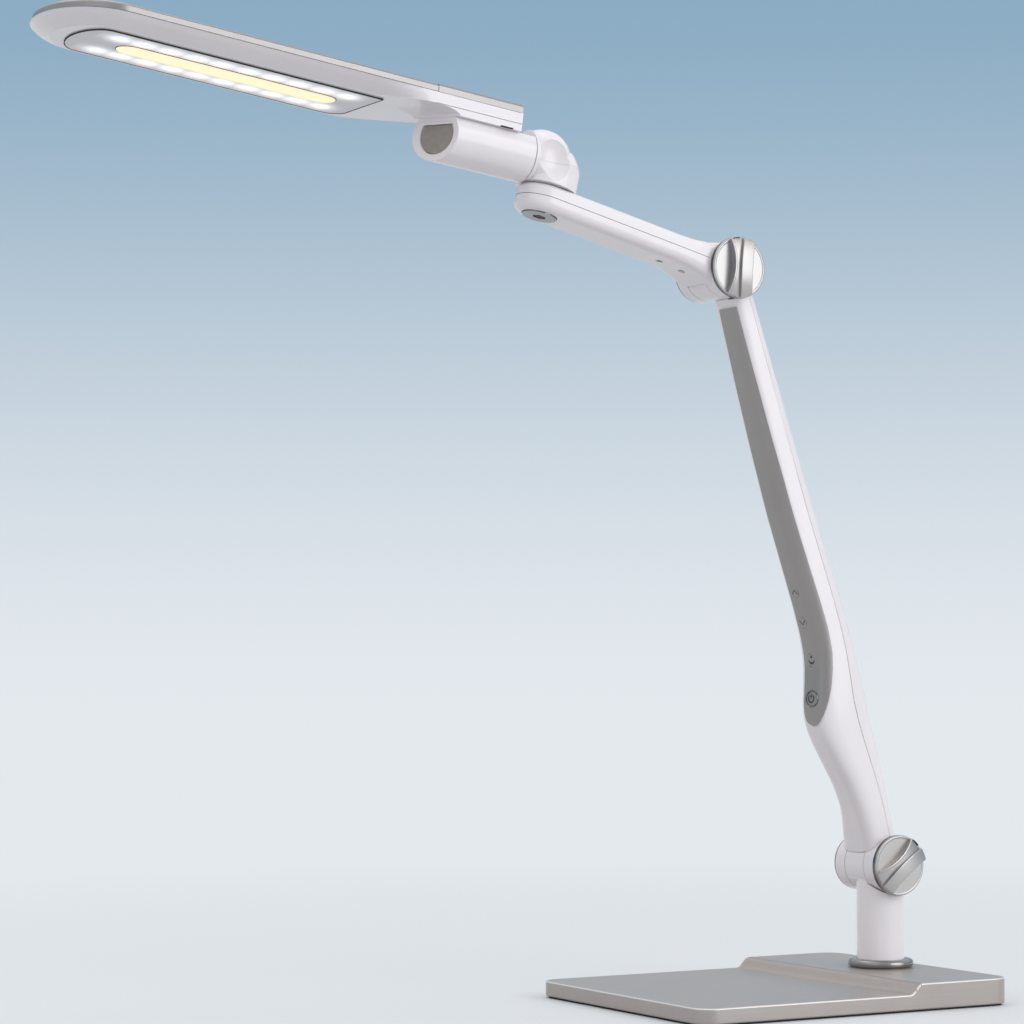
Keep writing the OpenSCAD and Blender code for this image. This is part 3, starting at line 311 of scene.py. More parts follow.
finishes = {
    "white_plastic": whitePlastic("whitePlastic", whiteLook),
    "white_metal": whitePlastic("whitePaintedMetal", dict(whiteLook, peel=1400, roughness=0.14)),
    "base_silver": silverPaint("baseSilverPaint", baseLook),
    "silver_plastic": silverPaint("silverPaint", silverLook),
    "inlay": silverPaint("inlaySilver", inlayLook),
    "silver_metal": turnedMetal("knobSilver", metalLook),
    "collar": turnedMetal("collarChrome", collarLook),
    "steel": turnedMetal("zincSteel", steelLook),
    "brass": turnedMetal("turnedBrass", brassLook),
    "plate_aluminium": turnedMetal("millAluminium", millLook),
    "chrome": chromePlate("chromePlate", chromeLook),
    "rim": chromePlate("shadedRimChrome", shadedRimLook),
    "iron": plainFinish("castIron", (96, 95, 94), (70, 69, 68), 0.62, 500, metal=0.6, depth=0.0001),
    "rubber": plainFinish("padRubber", (44, 44, 46), (30, 30, 32), 0.72, 1500, depth=0.00003),
    "black_plastic": plainFinish("blackPlastic", (40, 40, 43), (28, 28, 30), 0.48, 1200),
    "board": plainFinish("boardGreen", (52, 104, 72), (34, 78, 52), 0.4, 900),
    "led_cream": plainFinish("ledCream", (255, 246, 214), (246, 230, 180), 0.3, 2500),
    "plug_grey": plainFinish("plugGrey", (166, 160, 155), (140, 134, 129), 0.4, 260),
    "mark": plainFinish("markGrey", (62, 61, 63), (48, 48, 50), 0.4, 1500),
    "gap": plainFinish("gapAndShadeGrey", (58, 57, 60), (44, 43, 46), 0.7, 900),
    "diffuser_cream": litDiffuser("warmDiffuser", lightLook),
    "tray": frostedTray("frostedTray", trayLook),
}
for node, obj in cadNodes.items():
    obj.data.materials.clear()
    obj.data.materials.append(finishes[slotOf[node]])
print("finishes made:", len(finishes))

# Mesh helpers, with points in mm in the frame that is given


@contextmanager
def editing(mesh):
    bm = bmesh.new()
    bm.from_mesh(mesh)
    yield bm
    bm.to_mesh(mesh)
    bm.free()


def newMesh(name, points, faces, place):
    mesh = bpy.data.meshes.new(name)
    mesh.from_pydata([place @ (Vector(p) * mm) for p in points], [], faces)
    return mesh


def addMesh(name, points, faces, place=Matrix.Identity(4)):
    mesh = newMesh(name, points, faces, place)
    with editing(mesh) as bm:
        bmesh.ops.remove_doubles(bm, verts=bm.verts, dist=1e-7)
        bmesh.ops.triangulate(bm, faces=[f for f in bm.faces if len(f.verts) > 4], ngon_method="EAR_CLIP")
        bmesh.ops.recalc_face_normals(bm, faces=bm.faces)
    return addObject(name, mesh)


def loft(name, rings, place, closed=False, ladder=False):  # a closed solid through rings of points
    n, m = len(rings[0]), len(rings)
    faces = [(k * n + i, k * n + (i + 1) % n, ((k + 1) % m) * n + (i + 1) % n, ((k + 1) % m) * n + i)
             for k in range(m if closed else m - 1) for i in range(n)]
    if ladder:  # each end closed by rungs between the two sides of the ring
        for k in (0, (m - 1) * n):
            faces += [(k + i, k + i + 1, k + n - 2 - i, k + n - 1 - i) for i in range(n // 2 - 1)]
    elif not closed:
        faces += [tuple(range(n)), tuple((m - 1) * n + i for i in range(n))]
    return addMesh(name, [p for ring in rings for p in ring], faces, place)


def circle(radius, steps):
    return [(radius * math.cos(a), radius * math.sin(a)) for a in (k * math.tau / steps for k in range(steps))]


def arc(radius, first, last, count=40, centre=(0, 0), high=None):  # high is an ellipse's other radius
    turns = [math.radians(first + (last - first) * k / count) for k in range(count + 1)]
    return [(centre[0] + radius * math.cos(a), centre[1] + (high or radius) * math.sin(a)) for a in turns]


def lathe(name, profile, place, steps=96):  # profile of (radius, height) turned round Z
    return loft(name, [[(x, y, height) for x, y in circle(radius, steps)] for radius, height in profile], place)


def turned(name, profile, place, steps=96):  # a lathed piece that keeps its sharp edges
    return soften(lathe(name, profile, place, steps), 0, 35)


def alongY(radius, low, high, place, at=0):
    return loft("cutter", [[(x, y, at + z) for x, z in circle(radius, 160)] for y in (low, high)], place)


def prism(name, outline, low, high, place):
    return loft(name, [[(x, y, z) for x, y in outline] for z in (low, high)], place)


def band(name, outer, inner, low, high, place):  # a closed wall between two plans
    rings = [[(*a, low), (*a, high), (*b, high), (*b, low)] for a, b in zip(outer, inner)]
    return loft(name, rings, place, closed=True)


def bake(obj):  # apply every modifier
    bpy.context.view_layer.update()
    mesh = bpy.data.meshes.new_from_object(obj.evaluated_get(bpy.context.evaluated_depsgraph_get()))
    obj.modifiers.clear()
    obj.data = mesh
    return obj


def cutWith(obj, cutters, operation="DIFFERENCE"):
    for cutter in cutters:
        step = obj.modifiers.new("cut", "BOOLEAN")
        step.object, step.operation, step.solver = cutter, operation, "EXACT"
    bake(obj)
    for cutter in cutters:
        bpy.data.objects.remove(cutter)
    return obj


def soften(obj, width=0, angle=30, segments=2, clamp=True):  # rounded edges, then smooth shading
    with editing(obj.data) as bm:
        bmesh.ops.remove_doubles(bm, verts=bm.verts, dist=3e-6)
        bmesh.ops.dissolve_limit(bm, angle_limit=math.radians(0.6), verts=bm.verts, edges=bm.edges)
    obj.data.shade_smooth()
    if width:
        edge = obj.modifiers.new("edge", "BEVEL")
        edge.width, edge.segments, edge.limit_method = width * mm, segments, "ANGLE"
        edge.angle_limit, edge.use_clamp_overlap = math.radians(angle), clamp
        edge.miter_outer = "MITER_ARC"
    else:
        obj.data.set_sharp_from_angle(angle=math.radians(angle))
    even = obj.modifiers.new("even", "WEIGHTED_NORMAL")
    even.weight, even.keep_sharp = 60, True
    return bake(obj)


def settle(obj, body, slot, finish=None, stands=()):
    obj.data.materials.clear()
    obj.data.materials.append(finishes[finish or slot])
    for polygon in obj.data.polygons:
        polygon.material_index = 0
    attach(obj, body)
    if stands:
        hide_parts(*stands)


def darkJointAndShade(obj, body="head", slot="white_plastic"):  # a dark joint between two pieces; at the tube's mouth, a dark sheet of painted shade
    settle(soften(obj), body, slot, "gap")


def quarter(count):  # angles from 0 to a right one
    return [math.pi / 2 * k / count for k in range(count + 1)]


def ease(f):
    f = max(0.0, min(1.0, f))
    return f * f * (3 - 2 * f)


# Lower arm: two shells and the silver inlay, all from the arm's own section

lowerArm = {
    "belly": 25, "back": 19.6, "width": 29, "power": 3.2, "wall": 2.2, "taper": 0.94, "flare": 0.13,
    "rearCheek": 25, "seam": 82, "seamGap": 1, "lineHalf": 0.75, "lineTop": 0.25, "lineDeep": 0.9, "edge": 0.35,
    "screws": (0.16, 0.62, 0.86), "well": 2.55, "wellDeep": 1.6, "stations": 150, "turns": 72,
    "shares": [  # station, share of the belly, share of the back
        (0.030, 0.56, 0.64), (0.060, 0.53, 0.66), (0.100, 0.52, 0.74), (0.145, 0.60, 0.79), (0.190, 0.78, 0.85),
        (0.228, 0.93, 0.90), (0.256, 0.99, 0.95), (0.285, 0.93, 0.98), (0.320, 0.70, 1.00), (0.360, 0.48, 1.00),
        (0.400, 0.39, 1.00), (0.450, 0.37, 0.99), (0.520, 0.39, 0.93), (0.600, 0.41, 0.87), (0.700, 0.38, 0.82),
        (0.800, 0.32, 0.77), (0.900, 0.24, 0.72), (0.968, 0.18, 0.68)],
}
inlay = {
    "gap": 0.3, "thick": 0.6, "stations": 150, "crowding": 1.5, "turns": 40,
    "turnShares": [  # station, first and last degree round the section
        (0.257, 185, 189), (0.259, 180, 197), (0.263, 176.5, 207), (0.270, 174, 219), (0.280, 172.5, 231),
        (0.295, 172, 241), (0.315, 172, 248), (0.340, 172, 253), (0.370, 171, 256), (0.410, 169, 256),
        (0.480, 168, 253), (0.560, 168, 250), (0.650, 168, 248), (0.800, 168, 240), (0.900, 169, 231),
        (0.941, 170, 227)],
}
hinge = {"barrel": 18.5, "room": 18.65, "wideRoom": 19.3, "near": -6, "far": 15, "farRoom": 14.5, "beyond": 40}
keys = {
    "power_button": {"at": 0.300, "across": -4, "tilt": 22, "turn": 9, "size": 11.5},
    "mode_button": {"at": 0.359, "across": -3.5, "tilt": 13, "turn": 5, "size": 9},
    "down_key": {"at": 0.420, "across": -1, "tilt": 0, "turn": 0, "size": 8},
    "up_key": {"at": 0.472, "across": -1, "tilt": 0, "turn": 0, "size": 8},
}
keyLook = {"top": 1.15, "gap": 0.07, "ring": 1.1, "dish": 0.15, "lower": 0.18, "line": 0.945, "dot": 1.0}


def tableAt(table, t, column, blend=0.35):  # between two rows, eased by the share that blend gives
    for a, b in zip(table, table[1:]):
        if t <= b[0] or b is table[-1]:
            f = (t - a[0]) / (b[0] - a[0])
            g = blend * f * f * (3 - 2 * f) + (1 - blend) * f
            return a[column] + (b[column] - a[column]) * g


def smoothAt(table, t, column, reach=0.012):  # the same table with its corners rounded off
    spread = min(reach, max(0.0, t - table[0][0]), max(0.0, table[-1][0] - t))
    return sum(0.25 * tableAt(table, t + d * spread, column) for d in (-1, -0.5, 0.5, 1))


def armPoint(t, degrees, off, look=lowerArm):
    front = -look["belly"] * smoothAt(look["shares"], t, 1)
    rear = look["back"] * smoothAt(look["shares"], t, 2)
    flare = (look["rearCheek"] - look["width"] / 2) * (1 - ease(t / look["flare"]))
    halfWidth = look["width"] / 2 * (1 - (1 - look["taper"]) * t) + flare / 2
    c, s, e = math.cos(math.radians(degrees)), math.sin(math.radians(degrees)), 2 / look["power"]
    return ((front + rear) / 2 + ((rear - front) / 2 + off) * math.copysign(abs(c) ** e, c),
            flare / 2 + (halfWidth + off) * math.copysign(abs(s) ** e, s), t * lowerLength)


def armRing(t, first, last, count, outer, inner):
    turns = [first + (last - first) * i / count for i in range(count + 1)]
    return [armPoint(t, a, outer) for a in turns] + [armPoint(t, a, inner) for a in reversed(turns)]


def hingeRooms(look):  # room for the column's barrel at the foot and the upper arm's at the top
    room, wide, near, far, beyond = (look[key] for key in ("room", "wideRoom", "near", "far", "beyond"))
    cuts = ((room, -beyond, beyond, 0), (wide, near, far, 0), (room, near, far, lowerLength),
            (wide, -beyond, near, lowerLength), (wide, look["farRoom"], beyond, lowerLength))
    return [alongY(radius, low, high, onLowerArm, at) for radius, low, high, at in cuts]


def keyPlace(name):  # X up the arm, Z out of the panel
    key = keys[name]
    front = -lowerArm["belly"] * tableAt(lowerArm["shares"], key["at"], 1)
    middle = onLowerArm @ moveBy(front, key["across"], key["at"] * lowerLength)
    return middle @ turnBy(key["turn"], "Z") @ turnBy(key["tilt"] - 90)


def keyRooms():
    radii = {name: key["size"] / 2 + keyLook["gap"] for name, key in keys.items()}
    return [lathe("cutter", [(r, -9), (r, 20)], keyPlace(name)) for name, r in radii.items()]


def wellFloor(at):  # X of the floor of a screw's well in the arm's back
    return armPoint(at / lowerLength, 0, 0)[0] - lowerArm["wellDeep"]


def makeArmShells(look):
    low, high = look["shares"][0][0], look["shares"][-1][0]
    stations = [low + (high - low) * k / look["stations"] for k in range(look["stations"] + 1)]

    def skin(name, first, last, count, outer, inner, rows=stations):
        return loft(name, [armRing(t, first, last, count, outer, inner) for t in rows], onLowerArm)

    front = skin("armFront", look["seam"], 360 - look["seam"], look["turns"], 0, -look["wall"])
    soften(cutWith(front, hingeRooms(hinge) + keyRooms()), look["edge"], 40)
    settle(front, "lower_arm", "white_plastic", stands=("lower_arm_front",))
    edge = look["seam"] - look["seamGap"]
    back = skin("armBack", -edge, edge, look["turns"] // 2, 0, -look["wall"])
    rooms = hingeRooms(hinge)
    for at in armScrewAt:
        well = [[(x, y, at + z) for y, z in circle(look["well"], 48)] for x in (wellFloor(at), 60)]
        rooms.append(loft("cutter", well, onLowerArm))
    soften(cutWith(back, rooms), look["edge"], 40)
    settle(back, "lower_arm", "white_plastic", stands=("lower_arm_back",))
    middle = look["seam"] - look["seamGap"] / 2
    for name, at in (("armSeamNear", -middle), ("armSeamFar", middle)):
        line = skin(name, at - look["lineHalf"], at + look["lineHalf"], 4, -look["lineTop"], -look["lineDeep"],
                    stations[18:-10])
        darkJointAndShade(line, "lower_arm")


def makeInlay(look):
    table, outer, rings = look["turnShares"], look["gap"] + look["thick"], []
    for k in range(look["stations"] + 1):  # closer together at the round lower end
        t = table[0][0] + (table[-1][0] - table[0][0]) * (k / look["stations"]) ** look["crowding"]
        first, last = smoothAt(table, t, 1, 0.004), smoothAt(table, t, 2, 0.004)
        rings.append(armRing(t, first, last, look["turns"], outer, look["gap"]))
    panel = loft("silverInlay", rings, onLowerArm)
    soften(cutWith(panel, keyRooms()), 0, 40)
    settle(panel, "lower_arm", "silver_plastic", "inlay", stands=("control_panel",))


armScrewAt = [share * lowerLength for share in lowerArm["screws"]]
makeArmShells(lowerArm)
makeInlay(inlay)
print("lower arm made")

# Head: shell, covers, tray and strip, all from the head's own outline

head = {
    "length": 303, "width": 106, "near": -17.0, "far": 89.0, "tipShare": 0.69, "tipIn": 0.72, "run": 17,
    "nearBend": (62, 43), "farBend": (15, 65), "widens": (6, 86), "sideSteps": 90, "farPower": 1.3,
    "nearPower": 1.6, "tipSteps": 120, "face": 15.1, "lip": 22.1, "top": 27.3, "seam": 10.8, "wall": 2.6,
    "floor": 2.0, "sideShares": [(1, 0), (0.93, 0.05), (0.6, 0.27), (0.28, 0.6), (0.08, 0.9), (0, 1)],
    "innerFrom": 0.29, "neckHalf": 17.0, "neckNear": 77.1, "neckFar": 91.5, "neckSweep": 24, "neckStep": 0.6,
    "split": 60.7, "gap": 0.3, "edge": 0.8, "crown": 3, "crownShare": 0.6, "coverWall": 1.6, "lipGap": 0.45,
    "coreInset": 1.5, "coreStep": 1.5,
}
tray = {"gap": 0.6, "low": -0.7, "high": 1.5, "rim": 0.85, "rimTop": 1.4, "tipIn": 9.5, "sideIn": 4.5,
        "start": 87, "corner": 12, "bed": (2.05, 2.5), "bedOut": 1.2}
strip = {"half": 10.5, "from": 105, "to": 252, "gap": 0.45, "proud": 1.1, "deep": 1.6, "frame": 0.5,
         "frameProud": 0.9}
tube = {"end": 84.3, "skew": 23, "radius": 14.02, "flat": 8.02, "lip": 1.5, "lipDeep": 6, "lipStart": 0.3,
        "lensIn": 1.4, "lensThick": 1.6, "lensGap": 0.35}
slit = {"from": 6, "to": 15, "out": -17.06, "in": -15.5, "below": 0.1, "above": 0.75}
tipRun = head["width"] / 2 * head["tipShare"]
tipAt = head["length"] - tipRun


def between(u, bend):  # 0 before the bend's start and 1 after its length
    return ease((u - bend[0]) / bend[1])


def nearEdge(u, inset, w):
    return head["near"] + inset * between(u, head["nearBend"]) + w


def farEdge(u, inset, w):
    return (head["neckHalf"] + (head["far"] - head["neckHalf"]) * between(u, head["widens"])
            - inset * between(u, head["farBend"]) - w)


def headOutline(inset, w, z, u0, u1):  # inset is how far the side is drawn in, w how thick the wall is
    end, n, m = min(tipAt, u1), head["sideSteps"], head["tipSteps"]

    def stations(power):
        return [u0 + (end - u0) * (k / n) ** power for k in range(n + 1)]

    ring = [(-headStart - u, farEdge(u, inset, w), z) for u in stations(head["farPower"])]
    if u1 >= tipAt:
        for a in (math.pi * k / m for k in range(1, m)):
            ring.append((-headStart - tipAt - (tipRun - inset * head["tipIn"] - w) * math.sin(a),
                         headMiddle + (head["width"] / 2 - inset - w) * math.cos(a), z))
    return ring + [(-headStart - u, nearEdge(u, inset, w), z) for u in reversed(stations(head["nearPower"]))]


def smoothProfile(points, count):  # Catmull-Rom through the points
    full = [points[0]] + list(points) + [points[-1]]
    out = []
    for p0, p1, p2, p3 in zip(full, full[1:], full[2:], full[3:]):
        for f in (k / count for k in range(count)):
            out.append(tuple(0.5 * (2 * b + (c - a) * f + (2 * a - 5 * b + 4 * c - d) * f * f
                                    + (3 * b - a - 3 * c + d) * f ** 3) for a, b, c, d in zip(p0, p1, p2, p3)))
    return out + [points[-1]]


def roundedPlan(w):  # opening for the tray in the underside, drawn in by w
    run = tipRun - head["run"] * head["tipIn"] - tray["tipIn"] - w
    near, far = head["near"] + head["run"] + tray["sideIn"] + w, head["far"] - head["run"] - tray["sideIn"] - w
    foot, r = -headStart - tray["start"] - w, tray["corner"]
    return ([(-headStart - tipAt, near), (foot, near)] + arc(r, 0, 90, 18, (foot - r, far - r))
            + arc(run, 90, 270, 60, (-headStart - tipAt, headMiddle), (far - near) / 2))


def stripPlan(w):  # the strip's rounded plan, grown by w
    half = strip["half"]
    low, high = -headStart - (strip["to"] - half), -headStart - (strip["from"] + half)
    return arc(half + w, 90, 270, 45, (low, headMiddle)) + arc(half + w, -90, 90, 45, (high, headMiddle))


def makeShell(look):
    def level(rise, draw, wall):
        z = look["face"] + (look["lip"] - look["face"]) * rise
        return headOutline(look["run"] * draw, wall, z, wall, look["length"])

    side = smoothProfile(look["sideShares"], 5)
    rings = [level(*f, 0) for f in reversed(side)]
    rings += [level(*f, look["wall"]) for f in side if f[0] > look["innerFrom"]]
    wall, floor = look["wall"], look["face"] + look["floor"]
    rings.append(headOutline(look["run"] * 0.6, wall, floor, wall, look["length"]))
    shell = loft("headShell", rings, onHead)
    levels, half = [], look["neckHalf"]
    for f in (k / 10 for k in range(11)):  # the neck runs into the underside in a hollow curve
        back = look["neckSweep"] * (1 - math.sqrt(1 - (0.98 * f) ** 2))
        z = look["seam"] + (look["face"] + 0.3 - look["seam"]) * f
        levels.append([(-look["neckNear"] - back, -half, z), (-headStart, -half, z), (-headStart, half, z),
                       (-look["neckFar"] - back, half, z)])
    cutWith(shell, [loft("neckBox", levels, onHead)], "UNION")
    opening = prism("opening", roundedPlan(0), look["face"] - 2, floor + 1, onHead)
    soften(cutWith(shell, [opening]), 0, 33)
    settle(shell, "head", "white_plastic", stands=("head_shell",))


def makeCover(name, node, u0, u1, top, look):  # a thin cap with a crowned edge
    lip, wall, edge, crown = look["lip"] + look["lipGap"], look["coverWall"], look["edge"], look["crown"]
    side = lip + (top - lip) * look["crownShare"]
    steps = [(crown, wall, top - wall), (edge, wall, side - wall / 2), (edge, wall, lip), (edge, 0, lip)]
    for a in quarter(10):
        steps.append((edge + (crown - edge) * (1 - math.cos(a)), 0, side + (top - side) * math.sin(a)))
    endWall = 0 if u1 >= look["length"] else 1
    rings = [headOutline(0, inset + w, z, u0 + w, u1 - endWall * w) for inset, w, z in steps]
    settle(soften(loft(name, rings, onHead), 0.2, 40), "head", "silver_plastic", stands=(node,))


def makeLipCore(look):  # the dark line between shell and covers
    inset, drop, lip = look["coreInset"], look["coreStep"], look["lip"]
    core = [(inset + drop, lip + 1.5), (inset, lip + 1.2), (inset, lip - 0.3), (inset + drop, lip - 0.3)]
    dark = loft("lipCore", [headOutline(0, w, z, w, look["length"]) for w, z in core], onHead, closed=True)
    darkJointAndShade(dark)


def makeUnderside(face):
    frosted = prism("frostedTray", roundedPlan(tray["gap"]), face + tray["low"], face + tray["high"], onHead)
    cutWith(frosted, [prism("cutter", stripPlan(0), face - 2, face + 4, onHead)])
    settle(soften(frosted, 0.15, 40), "head", "silver_plastic", "tray", stands=("reflector",))
    top = face + tray["rimTop"]
    rim = band("trayRim", roundedPlan(0.04), roundedPlan(tray["gap"] - 0.04), face - tray["rim"], top, onHead)
    darkJointAndShade(rim, slot="silver_plastic")
    bed = prism("trayBed", roundedPlan(-tray["bedOut"]), face + tray["bed"][0], face + tray["bed"][1], onHead)
    darkJointAndShade(bed)
    lit = prism("warmStrip", stripPlan(-strip["gap"]), face - strip["proud"], face + strip["deep"], onHead)
    settle(soften(lit, 0.2, 40), "head", "diffuser_cream", stands=("diffuser",))
    low = face - strip["frameProud"]
    border = band("stripFrame", stripPlan(-0.03), stripPlan(-strip["frame"]), low, top, onHead)
    darkJointAndShade(border, slot="diffuser_cream")


def makeSlit(look, seam):  # the slot under the neck
    low, high = -headStart - look["to"], -headStart - look["from"]
    plan = [(low, look["out"]), (high, look["out"]), (high, look["in"]), (low, look["in"])]
    dark = prism("neckSlit", plan, seam - look["below"], seam + look["above"], onHead)
    settle(soften(dark, 0.1, 30), "head", "white_plastic", "gap")


def makeTubeMouth(look):
    slope = math.tan(math.radians(look["skew"]))

    def mouthRing(inset, depth):  # a circle with its top cut flat, parallel to the slanted mouth
        radius, flat = look["radius"] - inset, look["flat"] - inset
        low = math.degrees(math.asin(flat / radius))
        return [(-look["end"] - y * slope + depth, y, z) for y, z in arc(radius, 180 - low, 360 + low, 90)]

    lip, start, deep = look["lip"], look["lipStart"], look["lipDeep"]
    corners = ((0, start), (0, deep), (lip, deep), (lip, start + 0.4), (lip - 0.4, start))
    rim = loft("mouthLip", list(zip(*(mouthRing(*c) for c in corners))), onHead, closed=True)
    settle(soften(rim, 0, 40), "head", "white_plastic")
    inner, front = lip + look["lensGap"], look["lensIn"]
    lens = loft("mouthLens", [mouthRing(inner, front), mouthRing(inner, front + look["lensThick"])], onHead)
    settle(soften(lens, 0.2, 40), "head", "plug_grey", stands=("tube_plug",))
    # a dark sheet deep in the tube's mouth: painted shade
    back = loft("mouthShade", [mouthRing(0.1, deep + 0.2), mouthRing(0.1, deep + 0.8)], onHead)
    darkJointAndShade(back, slot="plug_grey")


makeShell(head)
makeCover("headTop", "head_cover", head["split"], head["length"], head["top"], head)
makeCover("neckTop", "neck_cover", 0, head["split"] - head["gap"], head["top"] + head["neckStep"], head)
makeLipCore(head)
makeUnderside(head["face"])
makeSlit(slit, head["seam"])
makeTubeMouth(tube)
print("head made")

# Dressed copies of other CAD nodes: the same shape with rounded edges

dressing = {  # node: edge radius in mm, sharpest angle that stays smooth, finish if not the slot's
    "base_cover": (1.1, 30), "column_post": (0.4, 35), "column_collar": (0, 30, "collar"),
    "lower_arm_frame": (0.5, 35), "knuckle_base": (0.35, 38), "knuckle_cover": (0.5, 38),
    "roll_ring": (0.35, 35), "head_tube": (0.6, 35), "pivot_screw": (0.3, 35, "chrome"),
    "dc_inlet": (0.3, 35), "bottom_plate": (0.25, 35), "base_pad": (0.3, 35),
}
baseStep = {"foot": -51.8, "head": -38.2, "low": 11, "high": 17.8, "cuts": 20}
scoop = {"radius": 18, "deep": 6, "ball": 19.6, "x": -9, "tall": 1.2, "steps": 60, "pole": 0.05}


def baseSlope(obj, look):  # the slope between plate and block rounds into both
    foot, run = look["foot"], look["head"] - look["foot"]
    with editing(obj.data) as bm:
        for k in range(look["cuts"] + 1):
            cut = ((foot + run * k / look["cuts"]) * mm, 0, 0)
            geom = bm.verts[:] + bm.edges[:] + bm.faces[:]
            bmesh.ops.bisect_plane(bm, geom=geom, plane_co=cut, plane_no=(1, 0, 0))
        for v in bm.verts:
            f = (v.co.x / mm - foot) / run
            if -0.01 < f < 1.01 and v.co.z > (look["low"] - 0.05) * mm:
                v.co.z = (look["low"] + (look["high"] - look["low"]) * ease(ease(f))) * mm


def scoopTools(look):  # a tall ball for each side of the knuckle
    r, tall, n, pole = look["radius"], look["radius"] * look["tall"], look["steps"], look["pole"]
    profile = [(r * math.sin(math.pi * max(k, pole) / n), -tall * math.cos(math.pi * k / n)) for k in range(n)]
    out = look["ball"] - look["deep"] + r
    return [lathe("cutter", profile + [(pole, tall)], onHead @ moveBy(look["x"], y, 0)) for y in (-out, out)]


def dress(node, width, angle, finish=None):
    obj = addObject("dressed_" + node, cadNodes[node].data.copy())
    with editing(obj.data) as bm:
        bmesh.ops.remove_doubles(bm, verts=bm.verts, dist=1e-6)
    if node == "base_cover":
        baseSlope(obj, baseStep)
    if node in ("knuckle_base", "knuckle_cover"):
        cutWith(obj, scoopTools(scoop))
    clamp = node != "base_cover"  # the slope's short cuts would hold its edge back
    soften(obj, width, angle, 3 if width > 0.4 else 2, clamp)
    settle(obj, bodyOf[node], slotOf[node], finish, stands=(node,))


for node, row in dressing.items():
    dress(node, *row)
print("dressed", len(dressing), "nodes")

# Clamping knobs, each a disc with a waisted, stepped grip, and the dark caps behind the hinges

knob = {"radius": 20, "face": -17.6, "thick": 4.2, "edge": 1.1, "lift": 0.04, "grip": 6.4, "half": 5.6,
        "waist": 60, "arch": 52, "ridge": 1.7, "ridgeGap": 1.5, "ridgeDrop": 1.0, "stepDrop": 2.2, "rows": 90,
        "gripIn": 0.35}
cap = {"radius": 18.3, "face": 25, "thick": 1.75, "edge": 0.7}


def gripPart(name, place, look, first, last, drop, waist):  # a bar across the disc between two curved sides
    rows, r = look["rows"], look["radius"] - look["gripIn"]
    foot, rings = look["face"] - look["thick"], []
    for k in range(rows + 1):
        z = r * 0.998 * math.sin(math.pi * (k / rows - 0.5))
        bow, half = look["waist"] - math.sqrt(look["waist"] ** 2 - z * z), math.sqrt(r * r - z * z)
        x0, x1 = max(-half, first - (bow if waist[0] else -bow)), min(half, last + (bow if waist[1] else -bow))
        x1 = max(x1, x0 + 0.05)
        top = foot - look["grip"] + drop + look["arch"] - math.sqrt(look["arch"] ** 2 - z * z)
        base, e = foot + 0.3, min(0.8, (x1 - x0) * 0.3)
        rings.append([(x0, base, z), (x0, top + e, z), (x0 + e * 0.3, top + e * 0.3, z), (x0 + e, top, z),
                      (x1 - e, top, z), (x1 - e * 0.3, top + e * 0.3, z), (x1, top + e, z), (x1, base, z)])
    return loft(name, rings, place)


def makeKnob(name, place, turn, look):
    place = place @ turnBy(turn)
    axis = place @ moveBy(0, look["face"], 0) @ turnBy(90, "X")
    r, t, e = look["radius"], look["thick"], look["edge"]
    profile = [(r - 0.9, look["lift"]), (r - 0.5, 0.5), (r, 0.7)] + arc(e, 0, 90, 8, (r - e, t - e))
    profile += [(r - e - 0.5, t - 0.05), (r - e - 0.9, t - 0.35), (0.3, t - 0.35)]
    disc = turned(name + "_disc", profile, axis)
    settle(disc, name, "silver_metal", stands=(name, name + "_insert"))
    # the disc's rim band in the darker chrome: a painted dark reflection that outlines the knob
    rim = [(r - 0.6, 0.62), (r + 0.03, 0.7), (r + 0.03, t - e), (r - 0.6, t - e)]
    settle(turned(name + "_rim", rim, axis), name, "silver_metal", "rim")
    half, ridge = look["half"], look["ridge"]
    parts = (("_grip", 0.25, -half + ridge + look["ridgeGap"], half + 1.0, 0, (False, True)),
             ("_ridge", 0.2, -half - 1.0, -half - 1.0 + ridge, look["ridgeDrop"], (True, False)),
             ("_step", 0.2, -half - 0.2, half, look["stepDrop"], (True, True)))
    for part, edge, *shape in parts:
        settle(soften(gripPart(name + part, place, look, *shape), edge, 40), name, "silver_metal")


def makeRearCap(node, place, look):
    axis = place @ moveBy(0, look["face"], 0) @ turnBy(-90, "X")
    r, t, e = look["radius"], look["thick"], look["edge"]
    profile = [(r - 0.4, -0.2), (r - 0.4, 0.12), (r, 0.14)] + arc(e, 0, 90, 6, (r - e, t - e))
    profile += [(r - 2.2, t - 0.02), (r - 2.6, t - 0.4), (0.3, t - 0.4)]
    ring = turned(node + "_ring", profile, axis)
    settle(ring, bodyOf[node], slotOf[node], "chrome", stands=(node,))
    inner = [(r - 2.9, t - 0.5), (r - 2.9, t - 0.2), (r - 3.3, t - 0.05), (0.3, t - 0.05)]
    settle(turned(node + "_face", inner, axis), bodyOf[node], slotOf[node])


makeKnob("lower_knob", onColumn, 52, knob)
makeKnob("elbow_knob", onElbow, 4, knob)
makeRearCap("lower_rear_cap", onLowerArm, cap)
makeRearCap("elbow_rear_cap", onElbow, cap)
print("knobs and caps made")

# Upper arm, drawn from its plan and a rounded edge, swelling into the barrel

upperArm = {"length": 140, "half": 17.5, "low": 6, "top": 3.2, "thick": 17, "flare": 46, "front": -17,
            "rear": 25, "shares": [(-1, 0), (-0.72, 0.06), (-0.5, 0.2), (-0.26, 0.55), (0, 0.97)],
            "pivotWell": (11.55, -7.2), "bore": (8.5, 17.5), "screws": (-29, -47), "well": 2.5,
            "wellMouth": 2.9, "wellDeep": 1.6}
seamLine = {"z": 0.55, "high": 0.32, "proud": 0.03, "deep": 0.5, "knobGap": 0.6}


def farSide(look, share):  # Y of the rear edge, from 0 at the hinge's cheek to 1 at the slim arm
    return look["rear"] - (look["rear"] - look["half"]) * ease(share)


